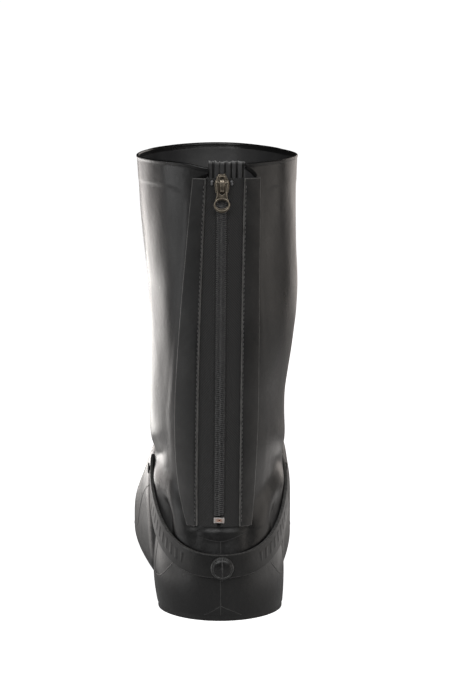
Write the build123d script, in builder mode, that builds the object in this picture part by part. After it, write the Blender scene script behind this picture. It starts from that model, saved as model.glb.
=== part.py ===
from build123d import *
import math
import os

import numpy as np

# A left riding overboot of moulded rubber, open at the top, with a zip over a pleated gusset up
# its back and a strap that buttons round its heel.
# Frame: origin on the floor under the middle of the shaft, +Z up, +Y to the toe, +X to the
# wearer's inner side. Millimetres.

# ---------------------------------------------------------------- driving dimensions
RIM_HEIGHT = 340.0
WALL = 2.6
SOLE_TOP = 4.0  # the shell stands on a heel lift and a tread this thick
TOE = 252.0  # from the origin to the tip of the toe
BALL_HEIGHT = 26.0  # the level where the forefoot is widest
BALL_HALF_WIDTH = {-1: 63.4, 1: 64.5}
BALL_POSITION = {-1: 165.0, 1: 175.0}
FULLNESS = {-1: 3.2, 1: 6.0}  # how square the arch of the forefoot is on each side
WAIST_HALF_WIDTH = 50.0
FOOT_TOP = 140.0  # above this the form is all leg
BOTTOM_TAPER = 0.30  # how much narrower the forefoot is where it meets the tread
BOTTOM_TURN = 2.7  # how sharply it turns in there
TOE_ROUNDNESS = 2.6
WAIST_Y = 30.0
WAIST_TURN = 1.6
ARCH_ROUNDNESS = 0.45
ONSET_START = -10.0  # where the foot begins to show outside the leg, low down
ONSET_LENGTH = 50.0
ONSET_DELAY = 30.0  # how much further forward it begins at the top of the foot
ONSET_STRETCH = 32.0
WAIST_BLEND = 4.0  # leg and foot differing by less than this are blended
BLEND_FADE = 20.0  # narrower than this, the blend fades out

# Level sections of the boot: height, back, front of the leg, tip of the foot, outer half width,
# inner half width. The back is straight above the heel, because the zip is.
SECTIONS = (
    (4.0, -65.8, 50.0, 243.0, 47.2, 48.2),
    (12.0, -66.4, 54.0, 249.5, 48.8, 49.0),
    (26.0, -66.6, 58.5, 252.0, 50.2, 49.4),
    (40.0, -66.2, 64.0, 247.0, 49.4, 49.2),
    (52.0, -64.8, 68.0, 236.0, 47.4, 47.4),
    (64.0, -62.2, 73.0, 217.0, 45.6, 45.6),
    (78.0, -61.4, 79.0, 185.0, 44.6, 44.6),
    (92.0, -61.9, 84.0, 156.0, 44.9, 44.9),
    (106.0, -62.4, 86.0, 132.0, 46.6, 46.4),
    (126.0, -63.0, 86.5, 106.0, 51.4, 50.6),
    (145.0, -63.6, 86.0, 86.0, 51.8, 49.7),
    (163.0, -64.2, 81.0, 81.0, 52.3, 50.0),
    (200.0, -65.4, 75.5, 75.5, 51.8, 55.6),
    (222.0, -66.2, 73.8, 73.8, 52.0, 58.0),
    (245.0, -66.9, 72.5, 72.5, 52.8, 58.3),
    (273.0, -67.8, 71.5, 71.5, 55.8, 57.2),
    (300.0, -68.7, 71.0, 71.0, 58.4, 57.6),
    (340.0, -70.0, 70.0, 70.0, 60.7, 57.9),
)
LEVEL_STEP = 12.0
LEVELS = [SOLE_TOP + LEVEL_STEP * i for i in range(30)]
SHAFT_START = 50.0  # sheets on the back of the leg need no level below this
POINTS_PER_SIDE = 12

# The zip runs up the straight part of the back and leans a little to the outer side at its foot.
ZIP_FOOT = Vector(-2.0, -61.3, 74.0)
ZIP_HEAD = Vector(0.0, -69.7, 330.0)
PANEL_BOTTOM = 70.5
PANEL_TOP = 329.0
CHAIN_HALF_WIDTH = 3.5
TOOTH_PITCH = 1.5
TOOTH_THICKNESS = 0.55
TOOTH_REACH = 0.9  # past the middle of the chain
COIL_SPINE = 0.9
TAPE_INNER_EDGE = 1.2
TAPE_OUTER_EDGE = 19.0
TAPE_SPLAY = 2.8
STITCH_PITCH = 3.3
STITCH_LENGTH = 2.1
STITCH_WIDTH = 0.6
STITCH_HEIGHT = 0.5

# Layers outside the shell at the back, as distances from its face.
TAPE_LAYER = (0.2, 0.8)
COIL_LAYER = (1.0, 3.0)
FLAP_LAYER = (1.1, 3.4)
STITCH_GAP = 0.22

# The opening behind the zip, and the bellows that closes it.
SLIT_LEFT = -10.0
SLIT_RIGHT = 17.0
SLIT_BOTTOM = 72.0
GUSSET_TOP = 342.0
GUSSET_THICKNESS = 0.8
GUSSET_DEPTH = 9.0
GUSSET_SETBACK = 5.0
GUSSET_FOLDS = 13

# The slider, in the plane of the zip.
SLIDER_HALF_WIDTH = 5.2
SLIDER_LENGTH = 14.0
SLIDER_TOP = 332.4
PLATE_THICKNESS = 1.2
TOP_PLATE = 3.4
BOTTOM_PLATE = -1.6
CROWN_WIDTH = 3.4
CROWN_RISE = 4.2
CROWN_ROOF = 1.0
PIN_RADIUS = 0.7
PULL_LENGTH = 22.0
PULL_THICKNESS = 1.1
RING_RADIUS = 6.0

# The strap, seen from above as an oval band, and from the side as a rising one.
STRAP_WIDTH = 17.5
STRAP_THICKNESS = 2.6
STRAP_SIDE = 52.3
STRAP_BACK = 70.4
STRAP_FRONT = 160.0
STRAP_LINE = ((-70.4, 41.5), (-57, 47), (-45, 54), (-32, 63), (-18, 75), (-4, 86.5), (14, 95), (34, 99.5))
SLOT_LENGTH = 30.0
SLOT_WIDTH = 4.2
SLOT_TILT = 22.0
SLOT_SHIFT = 10.5  # from the side stud back to the middle of the slot
STUD_HEIGHT = 41.3
STUD_RADIUS = 8.6
STUD_NECK = 4.0
STUD_HEAD = 3.4
SIDE_STUD_NECK = 1.9
SIDE_STUD_RADIUS = 4.2
SIDE_STUD_HEAD = 1.5
SIDE_STUD_Y = 27.0
SIDE_STUD_Z = 98.5

ROOM = 400.0  # longer than the boot, for cuts that go right through it


# ---------------------------------------------------------------- the shape of the boot
def at_height(height, column):
    """One column of SECTIONS at any height."""
    return float(np.interp(height, [row[0] for row in SECTIONS], [row[column] for row in SECTIONS]))


def foot_top(y):
    """Height of the top line of the foot at a distance from the origin."""
    rising = [row for row in SECTIONS if row[0] >= BALL_HEIGHT][::-1]
    return min(FOOT_TOP, float(np.interp(y, [row[3] for row in rising], [row[0] for row in rising])))


def leg_half_width(y, height, side):
    """Half width of the oval leg and heel."""
    back = at_height(height, 1)
    front = at_height(height, 2)
    middle = (back + front) / 2
    reach = (front - back) / 2
    share = max(0.0, 1 - ((y - middle) / reach) ** 2)
    return at_height(height, 4 if side < 0 else 5) * math.sqrt(share)


def foot_half_width(y, height, side):
    """Half width of the forefoot, an arched form that closes at the toe."""
    y = y * TOE / at_height(min(height, BALL_HEIGHT), 3)
    ball = BALL_POSITION[side]
    widest = BALL_HALF_WIDTH[side]
    if y > ball:
        plan = widest * math.sqrt(max(0.0, 1 - ((y - ball) / (TOE - ball)) ** TOE_ROUNDNESS))
    else:
        plan = widest - (widest - WAIST_HALF_WIDTH) * min(1.0, (ball - y) / (ball - WAIST_Y)) ** WAIST_TURN
    rise = min(1.0, max(0.0, height - BALL_HEIGHT) / max(foot_top(y) - BALL_HEIGHT, 1.0))
    # the foot grows out of the leg, later the higher up it is
    start = ONSET_START + ONSET_DELAY * rise
    onset = min(1.0, max(0.0, (y - start) / (ONSET_LENGTH + ONSET_STRETCH * rise)))
    plan *= onset * onset * (3 - 2 * onset)
    if height < BALL_HEIGHT:
        return plan * (1 - BOTTOM_TAPER * ((BALL_HEIGHT - height) / (BALL_HEIGHT - SOLE_TOP)) ** BOTTOM_TURN)
    return plan * max(0.0, 1 - rise ** FULLNESS[side]) ** ARCH_ROUNDNESS


def half_width(y, height, side):
    """The leg and the forefoot joined with a soft waist."""
    leg = leg_half_width(y, height, side)
    foot = foot_half_width(y, height, side)
    overlap = max(WAIST_BLEND - abs(leg - foot), 0) / WAIST_BLEND
    return max(leg, foot) + overlap * overlap * min(1.0, max(leg, foot) / BLEND_FADE)


def outline(height, offset):
    """Points round the boot at a height, each moved outward by the offset."""
    back = at_height(height, 1)
    tip = at_height(height, 3)
    steps = [(1 - math.cos(math.pi * i / POINTS_PER_SIDE)) / 2 for i in range(POINTS_PER_SIDE + 1)]
    ys = [back + (tip - back) * step for step in steps]
    right = [(half_width(y, height, 1), y) for y in ys[1:-1]]
    left = [(-half_width(y, height, -1), y) for y in ys[1:-1]]
    points = np.array([(0.0, back), *right, (0.0, tip), *left[::-1]])
    along = np.roll(points, -1, axis=0) - np.roll(points, 1, axis=0)
    normal = np.column_stack((along[:, 1], -along[:, 0]))
    normal /= np.linalg.norm(normal, axis=1)[:, None]
    return [Vector(*point) for point in points + offset * normal]


def outline_edge(height, offset):
    """The level outline as one closed curve, with its points at even steps of its parameter."""
    points = outline(height, offset)
    steps = [i / len(points) for i in range(len(points) + 1)]
    return Edge.make_spline(points, periodic=True, parameters=steps)


def boot_form(offset, levels, lift=0.0):
    """A solid of the boot's outer shape, grown by the offset."""
    with BuildPart() as form:
        for height in levels:
            with BuildSketch(Plane.XY.offset(height)):
                with BuildLine():
                    add(outline_edge(height + lift, offset))
                make_face()
        loft()
    return form.part


shaft_levels = [level for level in LEVELS if level > SHAFT_START]


def layer(near, far):
    """A sheet that follows the outside of the leg between two distances from it."""
    with BuildPart() as sheet:
        add(boot_form(far, shaft_levels))
        add(boot_form(near, shaft_levels), mode=Mode.SUBTRACT)
    return sheet.part


# ---------------------------------------------------------------- the planes of the zip
zip_up = (ZIP_HEAD - ZIP_FOOT).normalized()
zip_out = Vector(1, 0, 0).cross(zip_up).normalized()
zip_across = zip_up.cross(zip_out)
zip_plane = Plane(origin=ZIP_FOOT, x_dir=zip_across, z_dir=zip_out)
back_lean = math.degrees(math.atan2(ZIP_FOOT.Y - ZIP_HEAD.Y, ZIP_HEAD.Z - ZIP_FOOT.Z))


def up_zip(height):
    """Distance up the zip's line at a height above the floor."""
    return (height - ZIP_FOOT.Z) / zip_up.Z


def write(builder, name):
    """Label a finished piece and write it."""
    builder.part.label = name
    export_step(builder.part, f"parts/{name}.step")


os.makedirs("parts", exist_ok=True)

# ---------------------------------------------------------------- shell
INSOLE = ((-ROOM, 25.0), (10, 22), (85, 9.5), (ROOM, 9.5), (ROOM, -20), (-ROOM, -20))
HEEL_BREAST = 14.0
TREAD_START = 84.0
ARCH_RISE = 10.0
ARCH_LINE = ((HEEL_BREAST + 2, SOLE_TOP + ARCH_RISE), (44, SOLE_TOP + 7.5), (TREAD_START, SOLE_TOP))
RIM_LINE = ((-75, RIM_HEIGHT), (-20, 341.2), (35, 343), (56, 344.5), (75, 346.4))
# the slit is wider just under the rim, where the corners of the flaps stand off
NOTCH = {
    -1: ((SLIT_LEFT, 324), (-18.5, 328), (-18, 331), (-13, 334), (SLIT_LEFT, 335.5)),
    1: ((SLIT_RIGHT, 324), (25, 328), (25.5, 331), (22, 335), (SLIT_RIGHT, 338)),
}
inner_levels = [*LEVELS, LEVELS[-1] + LEVEL_STEP]

with BuildPart() as inside:
    add(boot_form(-WALL, inner_levels, lift=WALL))
    with BuildSketch(Plane.YZ):
        with BuildLine():
            Polyline(*INSOLE, close=True)
        make_face()
    extrude(amount=ROOM, both=True, mode=Mode.SUBTRACT)

with BuildPart() as boot_shell:
    add(boot_form(0.0, LEVELS))
    add(inside.part, mode=Mode.SUBTRACT)
    # the arch between the heel and the tread
    with BuildSketch(Plane.YZ):
        with BuildLine():
            arch = Spline(*ARCH_LINE)
            Polyline(arch @ 1, (TREAD_START, 0), (HEEL_BREAST, 0), arch @ 0)
        make_face()
    extrude(amount=ROOM, both=True, mode=Mode.SUBTRACT)
    # the rim, which rises to the front
    with BuildSketch(Plane.YZ):
        with BuildLine():
            rim = Spline(*RIM_LINE)
            front = (ROOM, RIM_LINE[-1][1])
            behind = (-ROOM, RIM_HEIGHT)
            Polyline(rim @ 1, front, (ROOM, ROOM), (-ROOM, ROOM), behind, rim @ 0)
        make_face()
    extrude(amount=ROOM, both=True, mode=Mode.SUBTRACT)
    # the slit behind the zip
    with BuildSketch(Plane.XZ):
        with BuildLine():
            Polyline(
                (SLIT_LEFT, SLIT_BOTTOM),
                *NOTCH[-1],
                (SLIT_LEFT, ROOM),
                (SLIT_RIGHT, ROOM),
                *NOTCH[1][::-1],
                (SLIT_RIGHT, SLIT_BOTTOM),
                close=True,
            )
        make_face()
    extrude(amount=ROOM, mode=Mode.SUBTRACT)
write(boot_shell, "boot_shell")

# ---------------------------------------------------------------- heel lift and tread
GROOVE = 2.0
GROOVE_INSET = 5.0  # the grooves stop short of the edge
SOLE_INSET = 0.4
HEEL_GROOVES = {"first": -52.0, "pitch": 10.0, "count": 6}
TREAD_GROOVES = {"first": 96.0, "pitch": 12.0, "count": 12}


def bottom_outline(inset):
    """The boot's outline where it meets the sole, drawn inward."""
    with BuildSketch() as face:
        with BuildLine():
            add(outline_edge(SOLE_TOP, -inset))
        make_face()
    return face.sketch


def sole_piece(start, end, grooves):
    """A rubber tread cut to the boot's bottom outline, with grooves across it."""
    with BuildPart() as piece:
        with BuildSketch():
            add(bottom_outline(SOLE_INSET))
            with Locations((0, (start + end) / 2)):
                Rectangle(ROOM, end - start, mode=Mode.INTERSECT)
        extrude(amount=SOLE_TOP)
        with BuildSketch():
            with Locations(*[(0, grooves["first"] + grooves["pitch"] * i) for i in range(grooves["count"])]):
                Rectangle(ROOM, GROOVE)
            add(bottom_outline(GROOVE_INSET), mode=Mode.INTERSECT)
        extrude(amount=GROOVE, mode=Mode.SUBTRACT)
    return piece


heel_lift = sole_piece(-ROOM, HEEL_BREAST, HEEL_GROOVES)
write(heel_lift, "heel_lift")
tread = sole_piece(TREAD_START, ROOM, TREAD_GROOVES)
write(tread, "tread")

# ---------------------------------------------------------------- bellows gusset
gusset_plane = Plane(
    origin=(0, ZIP_FOOT.Y + GUSSET_SETBACK, SLIT_BOTTOM),
    x_dir=(1, 0, 0),
    z_dir=(0, -math.sin(math.radians(back_lean)), math.cos(math.radians(back_lean))),
)
GUSSET_GAP = 0.05  # between its outer folds and the edges of the slit
fold_pitch = (SLIT_RIGHT - SLIT_LEFT - GUSSET_THICKNESS - 2 * GUSSET_GAP) / (GUSSET_FOLDS - 1)
fold_radius = fold_pitch / 2
first_fold = SLIT_LEFT + GUSSET_THICKNESS / 2 + GUSSET_GAP
run = GUSSET_DEPTH - 2 * fold_radius

with BuildPart() as rear_gusset:
    with BuildSketch(gusset_plane):
        for i in range(GUSSET_FOLDS):
            x = first_fold + i * fold_pitch
            with Locations((x, fold_radius + run / 2)):
                Rectangle(GUSSET_THICKNESS, run)
        for i in range(GUSSET_FOLDS - 1):
            x = first_fold + (i + 0.5) * fold_pitch
            low = i % 2 == 0
            y = fold_radius if low else fold_radius + run
            with BuildLine():
                CenterArc((x, y), fold_radius + GUSSET_THICKNESS / 2, 180 if low else 0, 180)
                CenterArc((x, y), fold_radius - GUSSET_THICKNESS / 2, 180 if low else 0, 180)
                for end in (-1, 1):
                    Line(
                        (x + end * (fold_radius + GUSSET_THICKNESS / 2), y),
                        (x + end * (fold_radius - GUSSET_THICKNESS / 2), y),
                    )
            make_face()
    extrude(amount=(GUSSET_TOP - SLIT_BOTTOM) / math.cos(math.radians(back_lean)))
write(rear_gusset, "rear_gusset")

# ---------------------------------------------------------------- zip flaps, tapes and stitching
# Edges of each flap and tape, as (across, height), from the foot up.
FLAP_OUTER = {
    -1: ((-21.8, PANEL_BOTTOM), (-30.4, 125), (-30.6, 175), (-26.5, 245), (-20.2, PANEL_TOP)),
    1: ((22.8, PANEL_BOTTOM), (26.2, 125), (27.2, 175), (27.2, 245), (27, PANEL_TOP)),
}
FLAP_INNER = {
    -1: ((-11.0, PANEL_TOP), (-14.4, 215), (-15, PANEL_BOTTOM)),
    1: ((15.6, PANEL_TOP), (14.8, 215), (14.4, PANEL_BOTTOM)),
}
STITCH_INSET = 0.9
STITCH_END_GAP = 3.0
CUT_DEPTH = 30.0  # from the zip's plane to clear of the sheets on either side
TAPE_TAPER = 2.0
TAPE_SPLAY_END = 8.0  # below the top of the panel
TAPE_SPLAY_START = 13.0

tape_sheet = layer(*TAPE_LAYER)
flap_sheet = layer(*FLAP_LAYER)


def on_zip(points):
    """(across, height) pairs as points of the zip's plane."""
    return [(across, up_zip(height)) for across, height in points]


def edge_at(points, height):
    """Where an edge given as (across, height) pairs is at a height."""
    ordered = sorted(points, key=lambda point: point[1])
    return float(np.interp(height, [p[1] for p in ordered], [p[0] for p in ordered]))


def on_flap(across, height):
    """Where a stitch lies: a plane on the outer face of the flap."""
    x = across + (ZIP_FOOT + zip_up * up_zip(height)).X
    back = at_height(height, 1)
    front = at_height(height, 2)
    middle, reach = (back + front) / 2, (front - back) / 2
    wide = at_height(height, 4 if x < 0 else 5)
    y = middle - reach * math.sqrt(1 - (x / wide) ** 2)
    out = Vector(x / wide**2, (y - middle) / reach**2, 0).normalized()
    lift = FLAP_LAYER[1] + STITCH_GAP + STITCH_HEIGHT / 2
    return Plane(origin=Vector(x, y, height) + out * lift, x_dir=zip_up.cross(out), z_dir=out).location


for side, word in ((-1, "left"), (1, "right")):
    with BuildPart() as flap:
        with BuildSketch(zip_plane.offset(-CUT_DEPTH)):
            with BuildLine():
                outer = Spline(*on_zip(FLAP_OUTER[side]))
                inner = Spline(*on_zip(FLAP_INNER[side]))
                Line(outer @ 1, inner @ 0)
                Line(inner @ 1, outer @ 0)
            make_face()
        extrude(amount=2 * CUT_DEPTH)
        add(flap_sheet, mode=Mode.INTERSECT)
    write(flap, f"{word}_zip_flap")

    with BuildPart() as tape:
        with BuildSketch(zip_plane.offset(-CUT_DEPTH)):
            with BuildLine():
                Polyline(
                    (side * TAPE_INNER_EDGE, up_zip(PANEL_BOTTOM)),
                    (side * TAPE_OUTER_EDGE, up_zip(PANEL_BOTTOM)),
                    (side * TAPE_OUTER_EDGE, up_zip(PANEL_TOP - TAPE_SPLAY_START)),
                    (side * (TAPE_OUTER_EDGE - TAPE_TAPER), up_zip(PANEL_TOP)),
                    (side * TAPE_SPLAY, up_zip(PANEL_TOP)),
                    (side * TAPE_SPLAY, up_zip(PANEL_TOP - TAPE_SPLAY_END)),
                    (side * TAPE_INNER_EDGE, up_zip(PANEL_TOP - TAPE_SPLAY_START)),
                    close=True,
                )
            make_face()
        extrude(amount=2 * CUT_DEPTH)
        add(tape_sheet, mode=Mode.INTERSECT)
    write(tape, f"{word}_zip_tape")

    places = []
    for i in range(int((PANEL_TOP - PANEL_BOTTOM - 2 * STITCH_END_GAP) / STITCH_PITCH)):
        height = PANEL_BOTTOM + STITCH_END_GAP + STITCH_PITCH * (i + 0.5)
        places.append(on_flap(edge_at(FLAP_INNER[side], height) + side * STITCH_INSET, height))
    with BuildPart() as stitching:
        with Locations(*places):
            Box(STITCH_WIDTH, STITCH_LENGTH, STITCH_HEIGHT)
    write(stitching, f"{word}_flap_stitching")

# ---------------------------------------------------------------- chain: two coils that mesh
CHAIN_BOTTOM = 79.0
CHAIN_END = 6.2  # below the top of the slider, where the wedge parts the coils
FIRST_TOOTH = 0.7  # of a pitch above the end of the coil
chain_top = SLIDER_TOP - CHAIN_END
tooth_count = int((up_zip(chain_top) - up_zip(CHAIN_BOTTOM)) / TOOTH_PITCH) - 1


def comb(side, shift):
    """Outline of one side of the chain: a spine with a tooth to each turn of the coil."""
    back = side * CHAIN_HALF_WIDTH
    root = side * (CHAIN_HALF_WIDTH - COIL_SPINE)
    tip = -side * TOOTH_REACH
    points = [(back, up_zip(chain_top)), (back, up_zip(CHAIN_BOTTOM)), (root, up_zip(CHAIN_BOTTOM))]
    for i in range(tooth_count):
        v = up_zip(CHAIN_BOTTOM) + TOOTH_PITCH * (i + FIRST_TOOTH) + shift
        low = v - TOOTH_THICKNESS / 2
        high = v + TOOTH_THICKNESS / 2
        points += [(root, low), (tip, low), (tip, high), (root, high)]
    return [*points, (root, up_zip(chain_top))]


for side, word in ((-1, "left"), (1, "right")):
    tooth_shift = 0.0 if side < 0 else TOOTH_PITCH / 2
    with BuildPart() as coil:
        with BuildSketch(zip_plane.offset(COIL_LAYER[0])):
            with BuildLine():
                Polyline(*comb(side, tooth_shift), close=True)
            make_face()
        extrude(amount=COIL_LAYER[1] - COIL_LAYER[0])
    write(coil, f"{word}_zip_coil")

# ---------------------------------------------------------------- stops
STOP_HALF_WIDTH = 3.8
STOP_LENGTH = 4.0
STOP_MIDDLE = 75.8
STOP_GAP = 0.3  # clear of the tapes, which bulge a little here
STOP_THICKNESS = 1.6
STOP_CORNER = 0.8
STOP_EDGE = 0.4

with BuildPart() as zip_bottom_stop:
    with BuildSketch(zip_plane.offset(COIL_LAYER[0] + STOP_GAP)):
        with Locations((0, up_zip(STOP_MIDDLE))):
            RectangleRounded(2 * STOP_HALF_WIDTH, STOP_LENGTH, STOP_CORNER)
    extrude(amount=STOP_THICKNESS)
    fillet(zip_bottom_stop.edges().filter_by(GeomType.LINE).group_by(SortBy.LENGTH)[-1], STOP_EDGE)
write(zip_bottom_stop, "zip_bottom_stop")

TOP_STOP_ACROSS = 7.1
TOP_STOP_HEIGHT = 325.8
TOP_STOP_SIZE = (1.9, 3.6, 1.5)
TOP_STOP_CORNER = 0.7
for side, word in ((-1, "left"), (1, "right")):
    with BuildPart() as top_stop:
        with BuildSketch(zip_plane.offset(COIL_LAYER[0])):
            with Locations((side * TOP_STOP_ACROSS, up_zip(TOP_STOP_HEIGHT))):
                RectangleRounded(TOP_STOP_SIZE[0], TOP_STOP_SIZE[1], TOP_STOP_CORNER)
        extrude(amount=TOP_STOP_SIZE[2])
    write(top_stop, f"{word}_top_stop")

# ---------------------------------------------------------------- slider
slider_top = up_zip(SLIDER_TOP)
slider_bottom = slider_top - SLIDER_LENGTH
SHOULDER = 4.6
POINT_HALF_WIDTH = 1.9
CHANNEL_HALF_WIDTH = 4.1
FLANGE_BOTTOM = 1.3
DIAMOND_HALF_WIDTH = 2.0
DIAMOND_LENGTH = 5.0
DIAMOND_WAIST = 2.0  # below the head
PRONG_UP = 3.8  # from the foot of the slider to its locking prong
PRONG_HOLE = (1.8, 1.6)
FOOT_TAPER = 0.9
FOOT_TAPER_LENGTH = 4.0
WALL_LENGTH = 8.0
WALL_UP = 4.2
WALL_LAP = 0.3  # of each side wall under the plates' edge
slider_foot = SLIDER_HALF_WIDTH - FOOT_TAPER


def slider_plate():
    """Half outlines of a slider plate: narrow foot, square shoulders, pointed head."""
    half = (
        (slider_foot, slider_bottom),
        (SLIDER_HALF_WIDTH, slider_bottom + FOOT_TAPER_LENGTH),
        (SLIDER_HALF_WIDTH, slider_top - SHOULDER),
        (POINT_HALF_WIDTH, slider_top),
    )
    return [*half, *[(-across, up) for across, up in half[::-1]]]


with BuildPart() as slider_body:
    for base in (TOP_PLATE, BOTTOM_PLATE):
        with BuildSketch(zip_plane.offset(base)):
            with BuildLine():
                Polyline(*slider_plate(), close=True)
            make_face()
        extrude(amount=PLATE_THICKNESS)
    # the side walls that hold the teeth together
    with BuildSketch(zip_plane.offset(FLANGE_BOTTOM)):
        for side in (-1, 1):
            with Locations((side * (CHANNEL_HALF_WIDTH + slider_foot) / 2, slider_bottom + WALL_UP)):
                Rectangle(slider_foot - CHANNEL_HALF_WIDTH + 2 * WALL_LAP, WALL_LENGTH)
    extrude(amount=TOP_PLATE - FLANGE_BOTTOM)
    # the wedge between the plates that parts the teeth
    with BuildSketch(zip_plane.offset(BOTTOM_PLATE)):
        with BuildLine():
            Polyline(
                (0, slider_top - DIAMOND_LENGTH),
                (DIAMOND_HALF_WIDTH, slider_top - DIAMOND_WAIST),
                (POINT_HALF_WIDTH, slider_top),
                (-POINT_HALF_WIDTH, slider_top),
                (-DIAMOND_HALF_WIDTH, slider_top - DIAMOND_WAIST),
                close=True,
            )
        make_face()
    extrude(amount=TOP_PLATE - BOTTOM_PLATE)
    # the hole that the locking prong drops through
    with BuildSketch(zip_plane.offset(TOP_PLATE)):
        with Locations((0, slider_bottom + PRONG_UP)):
            Rectangle(*PRONG_HOLE)
    extrude(amount=PLATE_THICKNESS, mode=Mode.SUBTRACT)
write(slider_body, "slider_body")

CROWN_FOOT_UP = 0.8
CROWN_HEAD_DOWN = 1.2
CROWN_FOOT_SLOPE = 1.6
CROWN_HEAD_SLOPE = 2.2
PIN_UP = 8.2
PIN_CLEARANCE = 1.5
crown_base = TOP_PLATE + PLATE_THICKNESS
crown_foot = slider_bottom + CROWN_FOOT_UP
crown_head = slider_top - CROWN_HEAD_DOWN
side_plane = Plane(origin=ZIP_FOOT, x_dir=zip_out, z_dir=zip_across)
pin_up = slider_bottom + PIN_UP
pin_out = crown_base + PIN_CLEARANCE


def crown_profile(inset):
    """Side outline of the arched crown, in (out, down) of the side plane."""
    return (
        (crown_base, -(crown_foot + inset)),
        (crown_base + CROWN_RISE - inset, -(crown_foot + CROWN_FOOT_SLOPE + inset)),
        (crown_base + CROWN_RISE - inset, -(crown_head - CROWN_HEAD_SLOPE - inset)),
        (crown_base, -(crown_head - inset)),
    )


with BuildPart() as slider_crown:
    with BuildSketch(side_plane):
        with BuildLine():
            Polyline(*crown_profile(0), close=True)
        make_face()
        with BuildLine():
            Polyline(*crown_profile(CROWN_ROOF), close=True)
        make_face(mode=Mode.SUBTRACT)
    extrude(amount=CROWN_WIDTH / 2, both=True)
write(slider_crown, "slider_crown")

SPRING_THICKNESS = 0.4
SPRING_HALF_WIDTH = 0.7
SPRING_DROP = 0.55  # below the roof of the crown
SPRING_HEAD = 4.2
PRONG_GAP = 0.1
spring_out = crown_base + CROWN_RISE - CROWN_ROOF - SPRING_DROP
spring_head = crown_head - SPRING_HEAD
prong = slider_bottom + PRONG_UP
with BuildPart() as slider_lock_spring:
    with BuildSketch(side_plane):
        with BuildLine():
            Polyline(
                (spring_out, -spring_head),
                (spring_out + SPRING_THICKNESS, -spring_head),
                (spring_out + SPRING_THICKNESS, -(prong - SPRING_THICKNESS / 2)),
                (TOP_PLATE + PRONG_GAP, -(prong - SPRING_THICKNESS / 2)),
                (TOP_PLATE + PRONG_GAP, -(prong + SPRING_THICKNESS / 2)),
                (spring_out, -(prong + SPRING_THICKNESS / 2)),
                close=True,
            )
        make_face()
    extrude(amount=SPRING_HALF_WIDTH, both=True)
write(slider_lock_spring, "slider_lock_spring")

# ---------------------------------------------------------------- pull tab
ARM_GAP = 0.35
ARM_INNER = CROWN_WIDTH / 2 + ARM_GAP
PULL_HEAD = 4.6
PULL_HEAD_RISE = 0.9
PULL_SHOULDER = (4.3, 3.0)  # across, and below the pin
PULL_NECK = 3.7
NECK_DROP = 8.5
PULL_FLARE = (4.7, 12.1)
PULL_WINDOW = 10.4
WINDOW_DROP = 3.4
HOLE_REACH = (4.8, 3.0)
HOLE_RISE = 0.2
RING_START = 0.4
ring_up = pin_up - PULL_LENGTH + RING_RADIUS
pull_plane = zip_plane.offset(pin_out - PULL_THICKNESS / 2)

with BuildPart() as pull_tab:
    with BuildSketch(pull_plane):
        with BuildLine():
            right_side = Spline(
                (PULL_SHOULDER[0], pin_up - PULL_SHOULDER[1]),
                (PULL_NECK, pin_up - NECK_DROP),
                (PULL_FLARE[0], pin_up - PULL_FLARE[1]),
                (RING_RADIUS, ring_up + RING_START),
            )
            ring_foot = (0, ring_up - RING_RADIUS)
            ring = ThreePointArc(right_side @ 1, ring_foot, (-RING_RADIUS, ring_up + RING_START))
            left_side = Spline(
                ring @ 1,
                (-PULL_FLARE[0], pin_up - PULL_FLARE[1]),
                (-PULL_NECK, pin_up - NECK_DROP),
                (-PULL_SHOULDER[0], pin_up - PULL_SHOULDER[1]),
            )
            Polyline(
                left_side @ 1,
                (-PULL_HEAD, pin_up + PULL_HEAD_RISE),
                (PULL_HEAD, pin_up + PULL_HEAD_RISE),
                right_side @ 0,
            )
        make_face()
        # the window that clears the crown
        with Locations((0, pin_up - WINDOW_DROP)):
            SlotOverall(PULL_WINDOW, 2 * ARM_INNER, rotation=90, mode=Mode.SUBTRACT)
        with Locations((0, pin_up + PULL_HEAD_RISE)):
            Rectangle(2 * ARM_INNER, 2 * PULL_HEAD_RISE, mode=Mode.SUBTRACT)
        # the finger hole
        with Locations((0, ring_up + HOLE_RISE)):
            Ellipse(*HOLE_REACH, mode=Mode.SUBTRACT)
    extrude(amount=PULL_THICKNESS)
    with BuildSketch(Plane(origin=zip_plane.from_local_coords(Vector(0, pin_up, pin_out)), z_dir=zip_across)):
        Circle(PIN_RADIUS)
    extrude(amount=PULL_SHOULDER[0], both=True)
write(pull_tab, "pull_tab")

# ---------------------------------------------------------------- heel strap and its studs
STRAP_END_FORWARD = (7.0, 1.0)  # from the side stud to the middle of the strap's round end
BUTTONHOLE_GAP = 0.4
BUTTONHOLE_DEPTH = 15.0
HEEL_PATCH = (5.0, 10.2)  # the strap's middle line is drawn out past the heel by a short straight piece
HEEL_PATCH_DROP = 2.0
STUD_ROOT = 1.5
STUD_CLEARANCE = 0.4
STUD_ROUND = 2.2
SEAT_GAP = 0.05
SIDE_STUD_ROOT = 40.0
SIDE_STUD_CLEARANCE = 0.8
FACE_LAP = 0.1


def strap_oval(inset):
    """The strap seen from above: half an oval round the heel, easing in along the instep."""
    side = STRAP_SIDE - inset
    with BuildSketch() as oval:
        Ellipse(side, STRAP_BACK - inset)
        with Locations((0, ROOM / 2)):
            Rectangle(ROOM, ROOM, mode=Mode.SUBTRACT)
        with BuildSketch(mode=Mode.PRIVATE) as front:
            Ellipse(side, STRAP_FRONT - inset)
            with Locations((0, -ROOM / 2)):
                Rectangle(ROOM, ROOM, mode=Mode.SUBTRACT)
        add(front.sketch)
    return oval.sketch


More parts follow.
